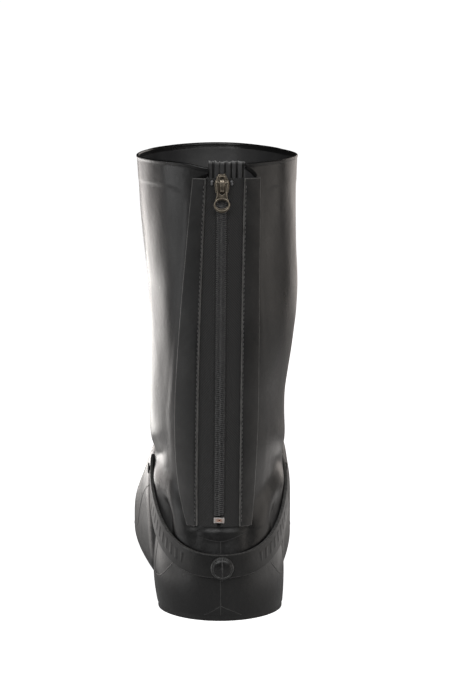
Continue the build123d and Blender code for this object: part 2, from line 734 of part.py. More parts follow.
with BuildPart() as heel_strap:
    with BuildSketch():
        add(strap_oval(0))
        add(strap_oval(STRAP_THICKNESS), mode=Mode.SUBTRACT)
    extrude(amount=2 * STRAP_LINE[-1][1])
    with BuildSketch(Plane.YZ):
        with BuildLine():
            middle = Spline(*STRAP_LINE)
        trace(middle, STRAP_WIDTH)
        with Locations((-STRAP_BACK - HEEL_PATCH[0], STRAP_LINE[0][1] - HEEL_PATCH_DROP)):
            Rectangle(HEEL_PATCH[1], STRAP_WIDTH, rotation=SLOT_TILT)
        with Locations((SIDE_STUD_Y + STRAP_END_FORWARD[0], SIDE_STUD_Z + STRAP_END_FORWARD[1])):
            Circle(STRAP_WIDTH / 2)
    extrude(amount=ROOM, both=True, mode=Mode.INTERSECT)
    # the buttonhole at the heel
    with BuildSketch(Plane.XZ.offset(STRAP_BACK - BUTTONHOLE_DEPTH)):
        with Locations((0, STUD_HEIGHT)):
            Circle(STUD_NECK + BUTTONHOLE_GAP)
    extrude(amount=2 * BUTTONHOLE_DEPTH, mode=Mode.SUBTRACT)
    # the long slots at the sides
    slot_run = Vector(SLOT_SHIFT, 0).rotate(Axis.Z, SLOT_TILT)
    with BuildSketch(Plane.YZ):
        with Locations((SIDE_STUD_Y - slot_run.X, SIDE_STUD_Z - slot_run.Y)):
            SlotOverall(SLOT_LENGTH, SLOT_WIDTH, rotation=SLOT_TILT)
    extrude(amount=ROOM, both=True, mode=Mode.SUBTRACT)
write(heel_strap, "heel_strap")

heel_back = -at_height(STUD_HEIGHT, 1)
with BuildPart() as heel_stud:
    with BuildSketch(Plane.XZ.offset(heel_back - STUD_ROOT)):
        with Locations((0, STUD_HEIGHT)):
            Circle(STUD_NECK)
    extrude(amount=STRAP_BACK + STUD_CLEARANCE + FACE_LAP - heel_back + STUD_ROOT)
    with BuildSketch(Plane.XZ.offset(STRAP_BACK + STUD_CLEARANCE)):
        with Locations((0, STUD_HEIGHT)):
            Circle(STUD_RADIUS)
    extrude(amount=STUD_HEAD)
    fillet(heel_stud.edges().filter_by(GeomType.CIRCLE).sort_by(Axis.Y)[0], STUD_ROUND)
    add(boot_form(SEAT_GAP, LEVELS), mode=Mode.SUBTRACT)
write(heel_stud, "heel_stud")

strap_side_x = STRAP_SIDE * math.sqrt(1 - (SIDE_STUD_Y / STRAP_FRONT) ** 2)
for side, word in ((-1, "left"), (1, "right")):
    with BuildPart() as side_stud:
        with BuildSketch(Plane.YZ.offset(side * SIDE_STUD_ROOT)):
            with Locations((SIDE_STUD_Y, SIDE_STUD_Z)):
                Circle(SIDE_STUD_NECK)
        extrude(amount=side * (strap_side_x + SIDE_STUD_CLEARANCE + FACE_LAP - SIDE_STUD_ROOT))
        with BuildSketch(Plane.YZ.offset(side * (strap_side_x + SIDE_STUD_CLEARANCE))):
            with Locations((SIDE_STUD_Y, SIDE_STUD_Z)):
                Circle(SIDE_STUD_RADIUS)
        extrude(amount=side * SIDE_STUD_HEAD)
        add(boot_form(SEAT_GAP, LEVELS), mode=Mode.SUBTRACT)
    write(side_stud, f"{word}_side_stud")
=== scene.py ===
import math

import bmesh
import bpy
import numpy as np
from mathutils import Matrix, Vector


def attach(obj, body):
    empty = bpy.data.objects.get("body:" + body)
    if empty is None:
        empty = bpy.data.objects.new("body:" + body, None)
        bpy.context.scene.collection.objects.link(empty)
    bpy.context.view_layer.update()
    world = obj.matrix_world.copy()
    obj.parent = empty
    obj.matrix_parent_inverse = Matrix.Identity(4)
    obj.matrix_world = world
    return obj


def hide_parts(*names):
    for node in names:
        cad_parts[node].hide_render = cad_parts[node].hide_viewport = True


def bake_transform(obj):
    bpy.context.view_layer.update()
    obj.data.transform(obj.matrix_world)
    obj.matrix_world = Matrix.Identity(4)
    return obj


# A rubber riding overboot seen from behind: shell, pleated gusset, flapped zip, slider and strap.
# The form is worked out in millimetres in the frame of the CAD model, and written in metres.

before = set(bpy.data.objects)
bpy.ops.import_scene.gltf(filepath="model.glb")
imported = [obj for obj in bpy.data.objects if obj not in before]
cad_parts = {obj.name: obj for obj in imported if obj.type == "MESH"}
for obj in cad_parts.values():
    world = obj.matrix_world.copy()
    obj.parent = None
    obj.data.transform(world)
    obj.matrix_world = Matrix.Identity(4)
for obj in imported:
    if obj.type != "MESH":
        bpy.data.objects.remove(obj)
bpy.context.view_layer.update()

MM = 0.001

# ---------------------------------------------------------------- the boot's form, as in the CAD
WALL = 2.6
SOLE_TOP = 4.0
RIM = 340.0
TOE = 252.0
BALL_HEIGHT = 26.0
BALL_HALF_WIDTH = {-1: 63.4, 1: 64.5}
BALL_POSITION = {-1: 165.0, 1: 175.0}
FULLNESS = {-1: 3.2, 1: 6.0}
WAIST_HALF_WIDTH = 50.0
FOOT_TOP = 140.0
BOTTOM_TAPER = 0.30
WAIST_Y = 30
TOE_POWER = 2.6
WAIST_POWER = 1.6
SECTIONS = np.array((
    (4.0, -65.8, 50.0, 243.0, 47.2, 48.2),
    (12.0, -66.4, 54.0, 249.5, 48.8, 49.0),
    (26.0, -66.6, 58.5, 252.0, 50.2, 49.4),
    (40.0, -66.2, 64.0, 247.0, 49.4, 49.2),
    (52.0, -64.8, 68.0, 236.0, 47.4, 47.4),
    (64.0, -62.2, 73.0, 217.0, 45.6, 45.6),
    (78.0, -61.4, 79.0, 185.0, 44.6, 44.6),
    (92.0, -61.9, 84.0, 156.0, 44.9, 44.9),
    (106.0, -62.4, 86.0, 132.0, 46.6, 46.4),
    (126.0, -63.0, 86.5, 106.0, 51.4, 50.6),
    (145.0, -63.6, 86.0, 86.0, 51.8, 49.7),
    (163.0, -64.2, 81.0, 81.0, 52.3, 50.0),
    (200.0, -65.4, 75.5, 75.5, 51.8, 55.6),
    (222.0, -66.2, 73.8, 73.8, 52.0, 58.0),
    (245.0, -66.9, 72.5, 72.5, 52.8, 58.3),
    (273.0, -67.8, 71.5, 71.5, 55.8, 57.2),
    (300.0, -68.7, 71.0, 71.0, 58.4, 57.6),
    (340.0, -70.0, 70.0, 70.0, 60.7, 57.9),
))
ZIP_FOOT = np.array((-2.0, -61.3, 74.0))
ZIP_HEAD = np.array((0.0, -69.7, 330.0))
PANEL_BOTTOM = 70.5
PANEL_TOP = 329.0
SLIT_BOTTOM = 72.0

FINE = 0.5  # step of the smoothed section table
fine_z = np.arange(-60.0, 420.0, FINE)
SECTION_BLUR = 5.0


def smooth_column(index, spread):
    """A column of SECTIONS over fine_z, drawn through its rows as a soft line."""
    z, v = SECTIONS[:, 0], SECTIONS[:, index]
    line = np.interp(fine_z, z, v)
    low, high = fine_z < z[0], fine_z > z[-1]
    line[low] = v[0] + (fine_z[low] - z[0]) * (v[1] - v[0]) / (z[1] - z[0])
    line[high] = v[-1] + (fine_z[high] - z[-1]) * (v[-1] - v[-2]) / (z[-1] - z[-2])
    reach = int(spread * 3 / FINE)
    kernel = np.exp(-0.5 * (np.arange(-reach, reach + 1) * FINE / spread) ** 2)
    return np.convolve(np.pad(line, reach, mode="edge"), kernel / kernel.sum(), mode="valid")


COLUMNS = {i: smooth_column(i, SECTION_BLUR) for i in range(1, 6)}


def column(height, index):
    return np.interp(height, fine_z, COLUMNS[index])


def leg_oval(height):
    """Middle and half depth of the leg's oval at a height."""
    back, front = column(height, 1), column(height, 2)
    return (back + front) / 2, (front - back) / 2


rising = fine_z >= BALL_HEIGHT


def foot_top(y):
    return np.minimum(FOOT_TOP, np.interp(y, COLUMNS[3][rising][::-1], fine_z[rising][::-1]))


def half_width(y, height, side):
    """Half width of the boot, leg and forefoot joined with a soft waist."""
    middle, reach = leg_oval(height)
    wide = column(height, 4 if side < 0 else 5)
    leg = wide * np.sqrt(np.maximum(0, 1 - ((y - middle) / reach) ** 2))
    tip = column(np.minimum(height, BALL_HEIGHT), 3)
    at = y * TOE / tip
    ball, widest = BALL_POSITION[side], BALL_HALF_WIDTH[side]
    toe_side = widest * np.sqrt(np.maximum(0, 1 - (np.maximum(at - ball, 0) / (TOE - ball)) ** TOE_POWER))
    heel_share = np.clip((ball - at) / (ball - WAIST_Y), 0, 1) ** WAIST_POWER
    plan = np.where(at > ball, toe_side, widest - (widest - WAIST_HALF_WIDTH) * heel_share)
    rise = np.clip((height - BALL_HEIGHT) / np.maximum(foot_top(at) - BALL_HEIGHT, 1), 0, 1)
    onset = np.clip((at - WAIST_Y * rise + 10) / (50 + 32 * rise), 0, 1)
    plan = plan * onset * onset * (3 - 2 * onset)
    below = 1 - BOTTOM_TAPER * (np.maximum(BALL_HEIGHT - height, 0) / (BALL_HEIGHT - SOLE_TOP)) ** 2.7
    above = np.maximum(0, 1 - rise ** FULLNESS[side]) ** 0.45
    foot = plan * np.where(height < BALL_HEIGHT, below, above)
    overlap = np.maximum(4 - np.abs(leg - foot), 0) / 4
    return np.maximum(leg, foot) + overlap**2 * np.minimum(1, np.maximum(leg, foot) / 20)


def back_surface(x, height, lift):
    """Points on the back of the leg at x and height, moved out from it by lift, all arrays."""
    x, height, lift = np.broadcast_arrays(np.asarray(x, float), height, lift)
    middle, reach = leg_oval(height)
    wide = np.where(x < 0, column(height, 4), column(height, 5))
    y = middle - reach * np.sqrt(np.maximum(0.02, 1 - (x / wide) ** 2))
    normal = np.stack([x / wide**2, (y - middle) / reach**2, np.zeros_like(x)], -1)
    normal /= np.linalg.norm(normal, axis=-1)[..., None]
    return np.stack([x, y, height], -1) + normal * lift[..., None]


def smoothstep(value, low, high):
    t = np.clip((value - low) / (high - low), 0, 1)
    return t * t * (3 - 2 * t)


def waves(points, scale, count, seed):
    """Gentle noise from -1 to 1 at points, a sum of sines in seeded directions."""
    rng = np.random.default_rng(seed)
    total = np.zeros(points.shape[:-1])
    for _ in range(count):
        direction = rng.normal(size=3)
        direction /= np.linalg.norm(direction) * scale * rng.uniform(0.6, 1.6)
        total += np.sin(points @ direction * 2 * math.pi + rng.uniform(0, 2 * math.pi))
    return total / math.sqrt(count)

# ---------------------------------------------------------------- the zip's own directions
zip_up = (ZIP_HEAD - ZIP_FOOT) / np.linalg.norm(ZIP_HEAD - ZIP_FOOT)
zip_out = np.cross((1.0, 0.0, 0.0), zip_up)
zip_out /= np.linalg.norm(zip_out)
zip_across = np.cross(zip_up, zip_out)


def up_zip(height):
    return (height - ZIP_FOOT[2]) / zip_up[2]


def zip_x(height):
    """x of the zip's line at a height."""
    return ZIP_FOOT[0] + (height - ZIP_FOOT[2]) / zip_up[2] * zip_up[0]


def zip_point(across, up, out):
    """Points of the zip's plane, all arrays."""
    across, up, out = np.broadcast_arrays(np.asarray(across, float), up, out)
    return ZIP_FOOT + across[..., None] * zip_across + up[..., None] * zip_up + out[..., None] * zip_out


# ---------------------------------------------------------------- mesh helpers
def link(obj):
    bpy.context.scene.collection.objects.link(obj)
    return obj


def mesh_object(name, points, faces, smooth=True, attributes=None):
    """A mesh from points in millimetres."""
    mesh = bpy.data.meshes.new(name)
    mesh.from_pydata((np.asarray(points, float) * MM).tolist(), [], [tuple(map(int, f)) for f in faces])
    for key, values in (attributes or {}).items():
        layer = mesh.attributes.new(key, "FLOAT", "POINT")
        layer.data.foreach_set("value", np.asarray(values, np.float32))
    mesh.validate()
    mesh.update()
    if smooth:
        mesh.polygons.foreach_set("use_smooth", [True] * len(mesh.polygons))
    return link(bpy.data.objects.new(name, mesh))


def unit(vectors):
    """Rows of vectors at length one."""
    return vectors / np.linalg.norm(vectors, axis=1)[:, None]


def resample(line, count):
    """Points at equal steps along a line, and how far along it each one is."""
    steps = np.concatenate([[0], np.cumsum(np.linalg.norm(np.diff(line, axis=0), axis=1))])
    at = np.linspace(0, steps[-1], count)
    return np.stack([np.interp(at, steps, line[:, i]) for i in range(line.shape[1])], -1), at


def rounding_fall(from_edge, radius):
    """How far a rounded edge lies below the face at a distance from the edge."""
    return radius * (1 - np.sqrt(np.clip(1 - (1 - np.clip(from_edge / radius, 0, 1)) ** 2, 0, 1)))


def grid_faces(rows, cols, closed_cols=False, base=0, flip=False):
    """Quads over a rows by cols grid of points."""
    r = np.arange(rows - 1)[:, None]
    c = np.arange(cols if closed_cols else cols - 1)[None, :]
    nxt = (c + 1) % cols
    quads = np.stack([r * cols + c, r * cols + nxt, (r + 1) * cols + nxt, (r + 1) * cols + c], -1)
    quads = quads.reshape(-1, 4) + base
    return quads[:, ::-1] if flip else quads


def rod_faces(rows, sides):
    """Faces of a closed rod made of rows of points."""
    ends = [list(range(sides))[::-1], [(rows - 1) * sides + i for i in range(sides)]]
    return grid_faces(rows, sides, True).tolist() + ends


def tube(path, radius, sides=8, closed=False, flat=None):
    """Points and faces of a round tube along a path, with ends closed."""
    path = np.asarray(path, float)
    radius = np.broadcast_to(np.asarray(radius, float), (len(path),))
    along = np.gradient(path, axis=0)
    if closed:
        along = np.roll(path, -1, axis=0) - np.roll(path, 1, axis=0)
    along = unit(along)
    reference = np.asarray(flat if flat is not None else (0.0, 1.0, 0.05), float)
    side = np.cross(along, reference)
    side = unit(side)
    other = np.cross(along, side)
    angles = np.arange(sides) / sides * 2 * math.pi
    ring = np.cos(angles)[None, :, None] * side[:, None] + np.sin(angles)[None, :, None] * other[:, None]
    points = path[:, None] + ring * radius[:, None, None]
    if not closed:
        return points.reshape(-1, 3), rod_faces(len(path), sides)
    last = (len(path) - 1) * sides
    faces = grid_faces(len(path), sides, True).tolist()
    faces += [[last + i, last + (i + 1) % sides, (i + 1) % sides, i] for i in range(sides)]
    return points.reshape(-1, 3), faces


def join(parts):
    """Several (points, faces) as one."""
    points, faces, base = [], [], 0
    for p, f in parts:
        points.append(np.asarray(p, float))
        faces += [[i + base for i in face] for face in f]
        base += len(p)
    return np.concatenate(points), faces


def plate(name, outlines, thickness, bevel, to_world, base_out, resolution=3):
    """A flat plate with holes and rounded edges: outlines are closed (across, up) loops."""
    curve = bpy.data.curves.new(name, "CURVE")
    curve.dimensions = "2D"
    curve.fill_mode = "BOTH"
    curve.extrude = (thickness / 2 - bevel) * MM
    curve.bevel_depth = bevel * MM
    curve.bevel_resolution = resolution
    curve.offset = -bevel * MM
    for loop in outlines:
        spline = curve.splines.new("POLY")
        spline.points.add(len(loop) - 1)
        for point, (a, v) in zip(spline.points, loop):
            point.co = (a * MM, v * MM, 0, 1)
        spline.use_cyclic_u = True
    temp = link(bpy.data.objects.new(name, curve))
    bpy.context.view_layer.update()
    graph = bpy.context.evaluated_depsgraph_get()
    mesh = bpy.data.meshes.new_from_object(temp.evaluated_get(graph))
    bpy.data.objects.remove(temp)
    count = len(mesh.vertices)
    co = np.zeros(count * 3)
    mesh.vertices.foreach_get("co", co)
    co = co.reshape(-1, 3) / MM
    world = to_world(co[:, 0], co[:, 1], base_out + thickness / 2 + co[:, 2])
    mesh.vertices.foreach_set("co", (world * MM).ravel())
    bm = bmesh.new()
    bm.from_mesh(mesh)
    bmesh.ops.remove_doubles(bm, verts=bm.verts, dist=1e-6)
    bmesh.ops.recalc_face_normals(bm, faces=bm.faces)
    bm.to_mesh(mesh)
    bm.free()
    mesh.name = name
    mesh.polygons.foreach_set("use_smooth", [False] * len(mesh.polygons))
    obj = link(bpy.data.objects.new(name, mesh))
    smooth_by_angle(obj, 35)
    return obj


def turn_faces_out(obj):
    """Makes every face of a closed mesh look outward."""
    bm = bmesh.new()
    bm.from_mesh(obj.data)
    bmesh.ops.recalc_face_normals(bm, faces=bm.faces)
    bm.to_mesh(obj.data)
    bm.free()


def end_quads(rows, count, columns):
    """Quads that close the two ends of a flat band made of rows of count points."""
    quads = []
    for row in (0, rows - 1):
        for i in range(columns - 1):
            far = row * count + count - 1 - i
            quad = [row * count + i, row * count + i + 1, far - 1, far]
            quads.append(quad[::-1] if row else quad)
    return quads


def set_edge(obj, values):
    """Writes how worn each point is, for the materials."""
    layer = obj.data.attributes.get("edge") or obj.data.attributes.new("edge", "FLOAT", "POINT")
    layer.data.foreach_set("value", np.asarray(values, np.float32))


def oval(across_at, up_at, wide, high, count):
    """Closed outline of a circle or an ellipse."""
    turns = np.linspace(0, 2 * math.pi, count, endpoint=False)
    return [(across_at + wide * math.cos(a), up_at + high * math.sin(a)) for a in turns]


def smooth_by_angle(obj, degrees):
    """Smooth shading with edges sharper than the angle kept."""
    mesh = obj.data
    mesh.polygons.foreach_set("use_smooth", [True] * len(mesh.polygons))
    bm = bmesh.new()
    bm.from_mesh(mesh)
    for edge in bm.edges:
        if len(edge.link_faces) == 2:
            edge.smooth = edge.calc_face_angle(0) < math.radians(degrees)
    bm.to_mesh(mesh)
    bm.free()


def add_mesh(target, source):
    """Joins source's mesh into target's."""
    bm = bmesh.new()
    bm.from_mesh(target.data)
    bm.from_mesh(source.data)
    bm.to_mesh(target.data)
    bm.free()
    bpy.data.objects.remove(source)


# ---------------------------------------------------------------- materials
class Paint:
    """A material's nodes: Principled shader fed by procedural textures in object space."""

    def __init__(self, name):
        self.material = bpy.data.materials.new(name)
        self.material.use_nodes = True
        self.tree = self.material.node_tree
        self.shader = self.tree.nodes["Principled BSDF"]
        coords = self.tree.nodes.new("ShaderNodeTexCoord")
        self.place = coords.outputs["Object"]

    def link(self, a, b):
        self.tree.links.new(a, b)

    def feed(self, value, socket):
        self.link(value, self.shader.inputs[socket])

    def noise(self, scale, detail=4.0, rough=0.55, stretch=None):
        made = self.tree.nodes.new("ShaderNodeTexNoise")
        made.inputs["Scale"].default_value = scale
        made.inputs["Detail"].default_value = detail
        made.inputs["Roughness"].default_value = rough
        if stretch:
            mapping = self.tree.nodes.new("ShaderNodeMapping")
            mapping.inputs["Scale"].default_value = stretch
            self.link(self.place, mapping.inputs["Vector"])
            self.link(mapping.outputs["Vector"], made.inputs["Vector"])
        else:
            self.link(self.place, made.inputs["Vector"])
        return made.outputs["Fac"]

    def band(self, value, low, high, out_low, out_high):
        made = self.tree.nodes.new("ShaderNodeMapRange")
        made.interpolation_type = "SMOOTHSTEP"
        for key, number in (("From Min", low), ("From Max", high), ("To Min", out_low), ("To Max", out_high)):
            made.inputs[key].default_value = number
        self.link(value, made.inputs["Value"])
        return made.outputs["Result"]

    def math(self, operation, a, b=0.0):
        made = self.tree.nodes.new("ShaderNodeMath")
        made.operation = operation
        for socket, value in zip(made.inputs, (a, b)):
            if isinstance(value, (int, float)):
                socket.default_value = value
            else:
                self.link(value, socket)
        return made.outputs["Value"]

    def mix(self, factor, a, b):
        made = self.tree.nodes.new("ShaderNodeMix")
        made.data_type = "RGBA"
        self.link(factor, made.inputs["Factor"])
        for socket, value in ((made.inputs["A"], a), (made.inputs["B"], b)):
            if isinstance(value, tuple):
                socket.default_value = (*value, 1.0)
            else:
                self.link(value, socket)
        return made.outputs["Result"]

    def axis(self, name):
        made = self.tree.nodes.new("ShaderNodeSeparateXYZ")
        self.link(self.place, made.inputs[0])
        return made.outputs[name]

    def attribute(self, name):
        made = self.tree.nodes.new("ShaderNodeAttribute")
        made.attribute_name = name
        return made.outputs["Fac"]

    def bump(self, height, distance, strength=1.0):
        made = self.tree.nodes.new("ShaderNodeBump")
        made.inputs["Distance"].default_value = distance
        made.inputs["Strength"].default_value = strength
        self.link(height, made.inputs["Height"])
        self.link(made.outputs["Normal"], self.shader.inputs["Normal"])

    def set(self, **values):
        for key, value in values.items():
            self.shader.inputs[key.replace("_", " ")].default_value = value


def rubber(name, dark, light, smooth, rough, grain, specular=0.5, edge_light=None, streak=0.0):
    """Moulded or sheet rubber: mottled colour, uneven gloss, fine grain, dust, and edges painted lighter: a
    painted highlight on flap, strap and gusset edges, lighter rims on the studs.
    """
    paint = Paint(name)
    mottle = paint.noise(38, 5, 0.6)
    colour = paint.mix(paint.band(mottle, 0.35, 0.7, 0, 1), dark, light)
    dust = paint.noise(2600, 1, 0.4)
    colour = paint.mix(paint.band(dust, 0.735, 0.76, 0, 0.35), colour, (0.16, 0.15, 0.14))
    # edges are painted lighter here: a painted highlight on the flaps, strap and gusset, lighter rims on the
    # studs
    if edge_light:
        wear_and_highlight = paint.noise(900, 3, 0.6, (1, 1, 0.25))
        share = paint.math("MULTIPLY", paint.attribute("edge"), paint.band(wear_and_highlight, 0.3, 0.6, 0.35, 1))
        colour = paint.mix(share, colour, edge_light)
    paint.feed(colour, "Base Color")
    smear = paint.noise(55, 6, 0.65, (1, 1, 0.35))
    gloss = paint.band(smear, 0.3, 0.72, smooth, rough)
    paint.feed(gloss, "Roughness")
    paint.set(**{"Specular IOR Level": specular})
    fine = paint.noise(grain, 3, 0.6)
    soft = paint.noise(grain * 0.13, 4, 0.5)
    height = paint.math("ADD", paint.math("MULTIPLY", fine, 0.35), soft)
    if streak:
        lines = paint.noise(420, 3, 0.6, (1, 1, 0.03))
        height = paint.math("ADD", height, paint.math("MULTIPLY", lines, streak))
    paint.bump(height, 0.00012)
    return paint.material


def assign(obj, material):
    obj.data.materials.clear()
    obj.data.materials.append(material)


SHELL = rubber("moulded_shell_rubber", (0.0060, 0.0060, 0.0063), (0.0095, 0.0094, 0.0092), 0.27, 0.39, 2200)
# Painted light: the inside rubber is painted several times lighter than the shell rubber, standing in for
# light that falls into the shaft.
INNER = rubber("inner_shell_rubber", (0.034, 0.034, 0.035), (0.050, 0.0495, 0.049), 0.40, 0.55, 1500)
MOULD_LINE = rubber("mould_line_rubber", (0.024, 0.0238, 0.0235), (0.055, 0.0545, 0.053), 0.34, 0.5, 1800)
SOLE = rubber("tread_rubber", (0.007, 0.007, 0.007), (0.012, 0.0118, 0.0115), 0.30, 0.45, 1400)
# the flap rubber's edge_light is a painted highlight along the flaps' cut edges
FLAP = rubber(
    "flap_rubber", (0.0105, 0.0105, 0.0105), (0.0165, 0.0162, 0.016), 0.38, 0.54, 1700,
    specular=0.42, edge_light=(0.17, 0.166, 0.16), streak=0.35,
)
# the strap rubber's edge_light is a painted highlight along the strap's edges
STRAP = rubber(
    "strap_rubber", (0.0085, 0.0085, 0.0083), (0.0135, 0.0132, 0.013), 0.30, 0.42, 1900,
    specular=0.42, edge_light=(0.11, 0.108, 0.105),
)
STUD = rubber(
    "stud_rubber", (0.0080, 0.0080, 0.0079), (0.0120, 0.0118, 0.0116), 0.24, 0.36, 1900,
    specular=0.45, edge_light=(0.12, 0.12, 0.118),
)
# Painted light: the gusset is the shell's rubber painted several times lighter to lift the shade between its
# pleats, and its edge_light is a painted highlight along the pleats' top edge.
BELLOWS = rubber(
    "bellows_rubber", (0.030, 0.030, 0.0305), (0.055, 0.055, 0.055), 0.38, 0.55, 2100,
    specular=0.5, edge_light=(0.34, 0.338, 0.335), streak=0.3,
)


def tape_material():
    """Woven twill: diagonal ribs and fine threads."""
    paint = Paint("twill_tape")
    x, z = paint.axis("X"), paint.axis("Z")
    mirror = paint.math("ABSOLUTE", paint.math("SUBTRACT", x, paint.math("MULTIPLY", z, 0.0078)))
    along = paint.math("SUBTRACT", paint.math("MULTIPLY", z, 0.62), mirror)
    ribs = paint.math("SINE", paint.math("MULTIPLY", along, 2 * math.pi / 0.00125))
    weft = paint.math("SINE", paint.math("MULTIPLY", z, 2 * math.pi / 0.00055))
    fuzz = paint.noise(5200, 2, 0.7)
    height = paint.math("ADD", paint.math("MULTIPLY", ribs, 0.6), paint.math("MULTIPLY", weft, 0.22))
    height = paint.math("ADD", height, paint.math("MULTIPLY", fuzz, 0.7))
    lit = paint.band(height, -0.4, 1.2, 0, 1)
    colour = paint.mix(lit, (0.0035, 0.0035, 0.0036), (0.052, 0.0515, 0.051))
    fade = paint.noise(160, 3, 0.6)
    colour = paint.mix(paint.band(fade, 0.35, 0.75, 0, 0.3), colour, (0.028, 0.027, 0.026))
    paint.feed(colour, "Base Color")
    paint.feed(paint.band(fuzz, 0.3, 0.7, 0.62, 0.85), "Roughness")
    paint.set(**{"Specular IOR Level": 0.35, "Sheen Weight": 0.12, "Sheen Roughness": 0.45})
    paint.bump(height, 0.00016)
    return paint.material


def thread_material(name, dark, light):
    """Twisted sewing thread."""
    paint = Paint(name)
    twist = paint.noise(5200, 2, 0.6)
    colour = paint.mix(paint.band(twist, 0.35, 0.7, 0, 1), dark, light)
    paint.feed(colour, "Base Color")
    paint.feed(paint.band(twist, 0.3, 0.7, 0.45, 0.7), "Roughness")
    paint.set(**{"Sheen Weight": 0.15})
    paint.bump(twist, 0.00008)
    return paint.material


def coil_material():
    """Satin nylon monofilament, a little scuffed."""
    paint = Paint("coil_monofilament")
    scuff = paint.noise(700, 4, 0.6)
    colour = paint.mix(paint.band(scuff, 0.4, 0.7, 0, 1), (0.065, 0.065, 0.0655), (0.14, 0.139, 0.137))
    paint.feed(colour, "Base Color")
    paint.feed(paint.band(scuff, 0.3, 0.7, 0.3, 0.48), "Roughness")
    paint.bump(paint.noise(6000, 2, 0.5), 0.00002)
    return paint.material


def antique_metal(name, deep, wear_and_highlight, bright, rough):
    """Dark plated zinc with warm wear on its high parts and tarnish in patches."""
    paint = Paint(name)
    patches = paint.noise(900, 5, 0.6)
    spots = paint.noise(3800, 3, 0.6)
    colour = paint.mix(paint.band(patches, 0.35, 0.68, 0, 1), deep, wear_and_highlight)
    rubbed = paint.math("MULTIPLY", paint.attribute("edge"), paint.band(spots, 0.25, 0.6, 0.4, 1))
    colour = paint.mix(rubbed, colour, bright)
    paint.feed(colour, "Base Color")
    paint.feed(paint.band(spots, 0.3, 0.7, rough, rough + 0.2), "Roughness")
    paint.set(Metallic=1.0)
    paint.bump(paint.math("ADD", spots, paint.math("MULTIPLY", patches, 0.5)), 0.00003)
    return paint.material


BRASS = antique_metal(
    "antique_brass", (0.040, 0.034, 0.028), (0.105, 0.088, 0.067), (0.42, 0.365, 0.29), 0.26,
)
STOP = antique_metal("copper_stop", (0.60, 0.34, 0.24), (0.80, 0.50, 0.38), (0.80, 0.79, 0.78), 0.34)
TOP_STOP = antique_metal("top_stop_metal", (0.08, 0.08, 0.085), (0.17, 0.17, 0.175), (0.40, 0.40, 0.41), 0.35)
TAPE = tape_material()
# Painted highlight: the flap thread is painted light grey so the black stitches show as light dashes.
THREAD = thread_material("flap_thread", (0.050, 0.049, 0.048), (0.150, 0.147, 0.143))
CHAIN_THREAD = thread_material("chain_thread", (0.008, 0.008, 0.008), (0.020, 0.020, 0.020))
COIL = coil_material()

# ---------------------------------------------------------------- shell
N_SIDE = 190
N_SLIT = {-1: 24, 1: 40}
HEEL_BREAST = 14.0
TREAD_START = 84.0
LEFT_NOTCH = ((0, -10), (323.5, -10), (328, -17.5), (331, -17.6), (334, -13), (335.5, -10), (360, -10))
RIGHT_NOTCH = ((0, 17), (323.5, 17), (328, 24.6), (331, 25.2), (335, 22), (338.4, 17), (360, 17))


def slit_edge(height, side):
    points = np.array(LEFT_NOTCH if side < 0 else RIGHT_NOTCH, float)
    return np.interp(height, points[:, 0], points[:, 1])


ARCH = ((16, 24, 34, 46, 60, 74, 84), (14.0, 13.6, 12.6, 10.8, 8.2, 5.6, 4.0))
INSOLE = ((-400, 10, 85, 400), (25, 22, 9.5, 9.5))


def bottom_at(y):
    """Underside of the shell: flat heel, arch, flat forefoot."""
    arch = np.interp(y, *ARCH)
    return np.where((y > HEEL_BREAST + 0.5) & (y < TREAD_START), arch, SOLE_TOP)


def insole_at(y):
    return np.interp(y, *INSOLE)


def ring_ts(height, side):
    """Fractions round one side of the level outline, with a column on the edge of the slit."""
    back, tip = column(height, 1), column(height, 3)
    wide = column(height, 4 if side < 0 else 5)
    middle, reach = leg_oval(height)
    x = abs(slit_edge(height, side))
    y = middle - reach * math.sqrt(max(0.0, 1 - (x / wide) ** 2))
    edge = math.acos(1 - 2 * (y - back) / (tip - back)) / math.pi
    near = np.linspace(0, edge, N_SLIT[side], endpoint=False)
    far = np.linspace(edge, 1, N_SIDE - N_SLIT[side] + 1)
    return np.concatenate([near, far])


def ring(height, offset, lift):
    """One level outline, from the right edge of the slit round the front and back across the slit."""
    level = height + lift
    back, tip = column(level, 1), column(level, 3)
    halves = {}
    for side in (-1, 1):
        t = ring_ts(min(level, RIM), side)
        y = back + (tip - back) * (1 - np.cos(math.pi * t)) / 2
        x = side * half_width(y, np.full_like(y, level), side)
        x[0] = 0
        x[-1] = 0
        halves[side] = np.stack([x, y], -1)
    loop = np.concatenate([halves[1], halves[-1][-2:0:-1]])
    along = np.roll(loop, -1, axis=0) - np.roll(loop, 1, axis=0)
    normal = np.stack([along[:, 1], -along[:, 0]], -1)
    normal /= np.maximum(np.linalg.norm(normal, axis=1), 1e-9)[:, None]
    shifted = np.roll(loop + normal * offset, -N_SLIT[1], axis=0)
    return shifted, np.roll(normal, -N_SLIT[1], axis=0)


LOW = 60.0  # below this the levels follow the arch and the insole
z_levels = np.unique(np.round(np.concatenate([
    np.array([4.0, 4.35, 4.9, 5.8]),
    np.arange(7.0, 66, 1.5),
    np.arange(66.0, 78, 0.75),
    np.arange(78.0, 322, 1.5),
    np.arange(322.0, 336.9, 0.75),
]), 3))
SLIT_ROW = int(np.argmin(np.abs(z_levels - SLIT_BOTTOM)))
z_levels[SLIT_ROW] = SLIT_BOTTOM

# the reinforced part round the zip and under the rim stands a little proud of the rest
LEFT_CONTOUR = (
    (40, -27), (60, -30.5), (75, -34), (153, -40), (240, -30.8), (265, -28.5), (290, -26.6), (345, -26),
)
RIGHT_CONTOUR = (
    (40, 23), (60, 26), (75, 29), (93, 31), (115, 34), (144, 36), (206, 32), (250, 29.2), (290, 29.6),
    (345, 30),
)
BAND_HEIGHT = 321.5
RAISED = 0.30


def soft_max(a, b, k):
    h = np.clip(0.5 + 0.5 * (a - b) / k, 0, 1)
    return b + (a - b) * h + k * h * (1 - h)


PART_LINE_X = -1.0
RIDGE_UP = 59.3
STEP_SOFTNESS = 1.7
TROUGH = 0.6


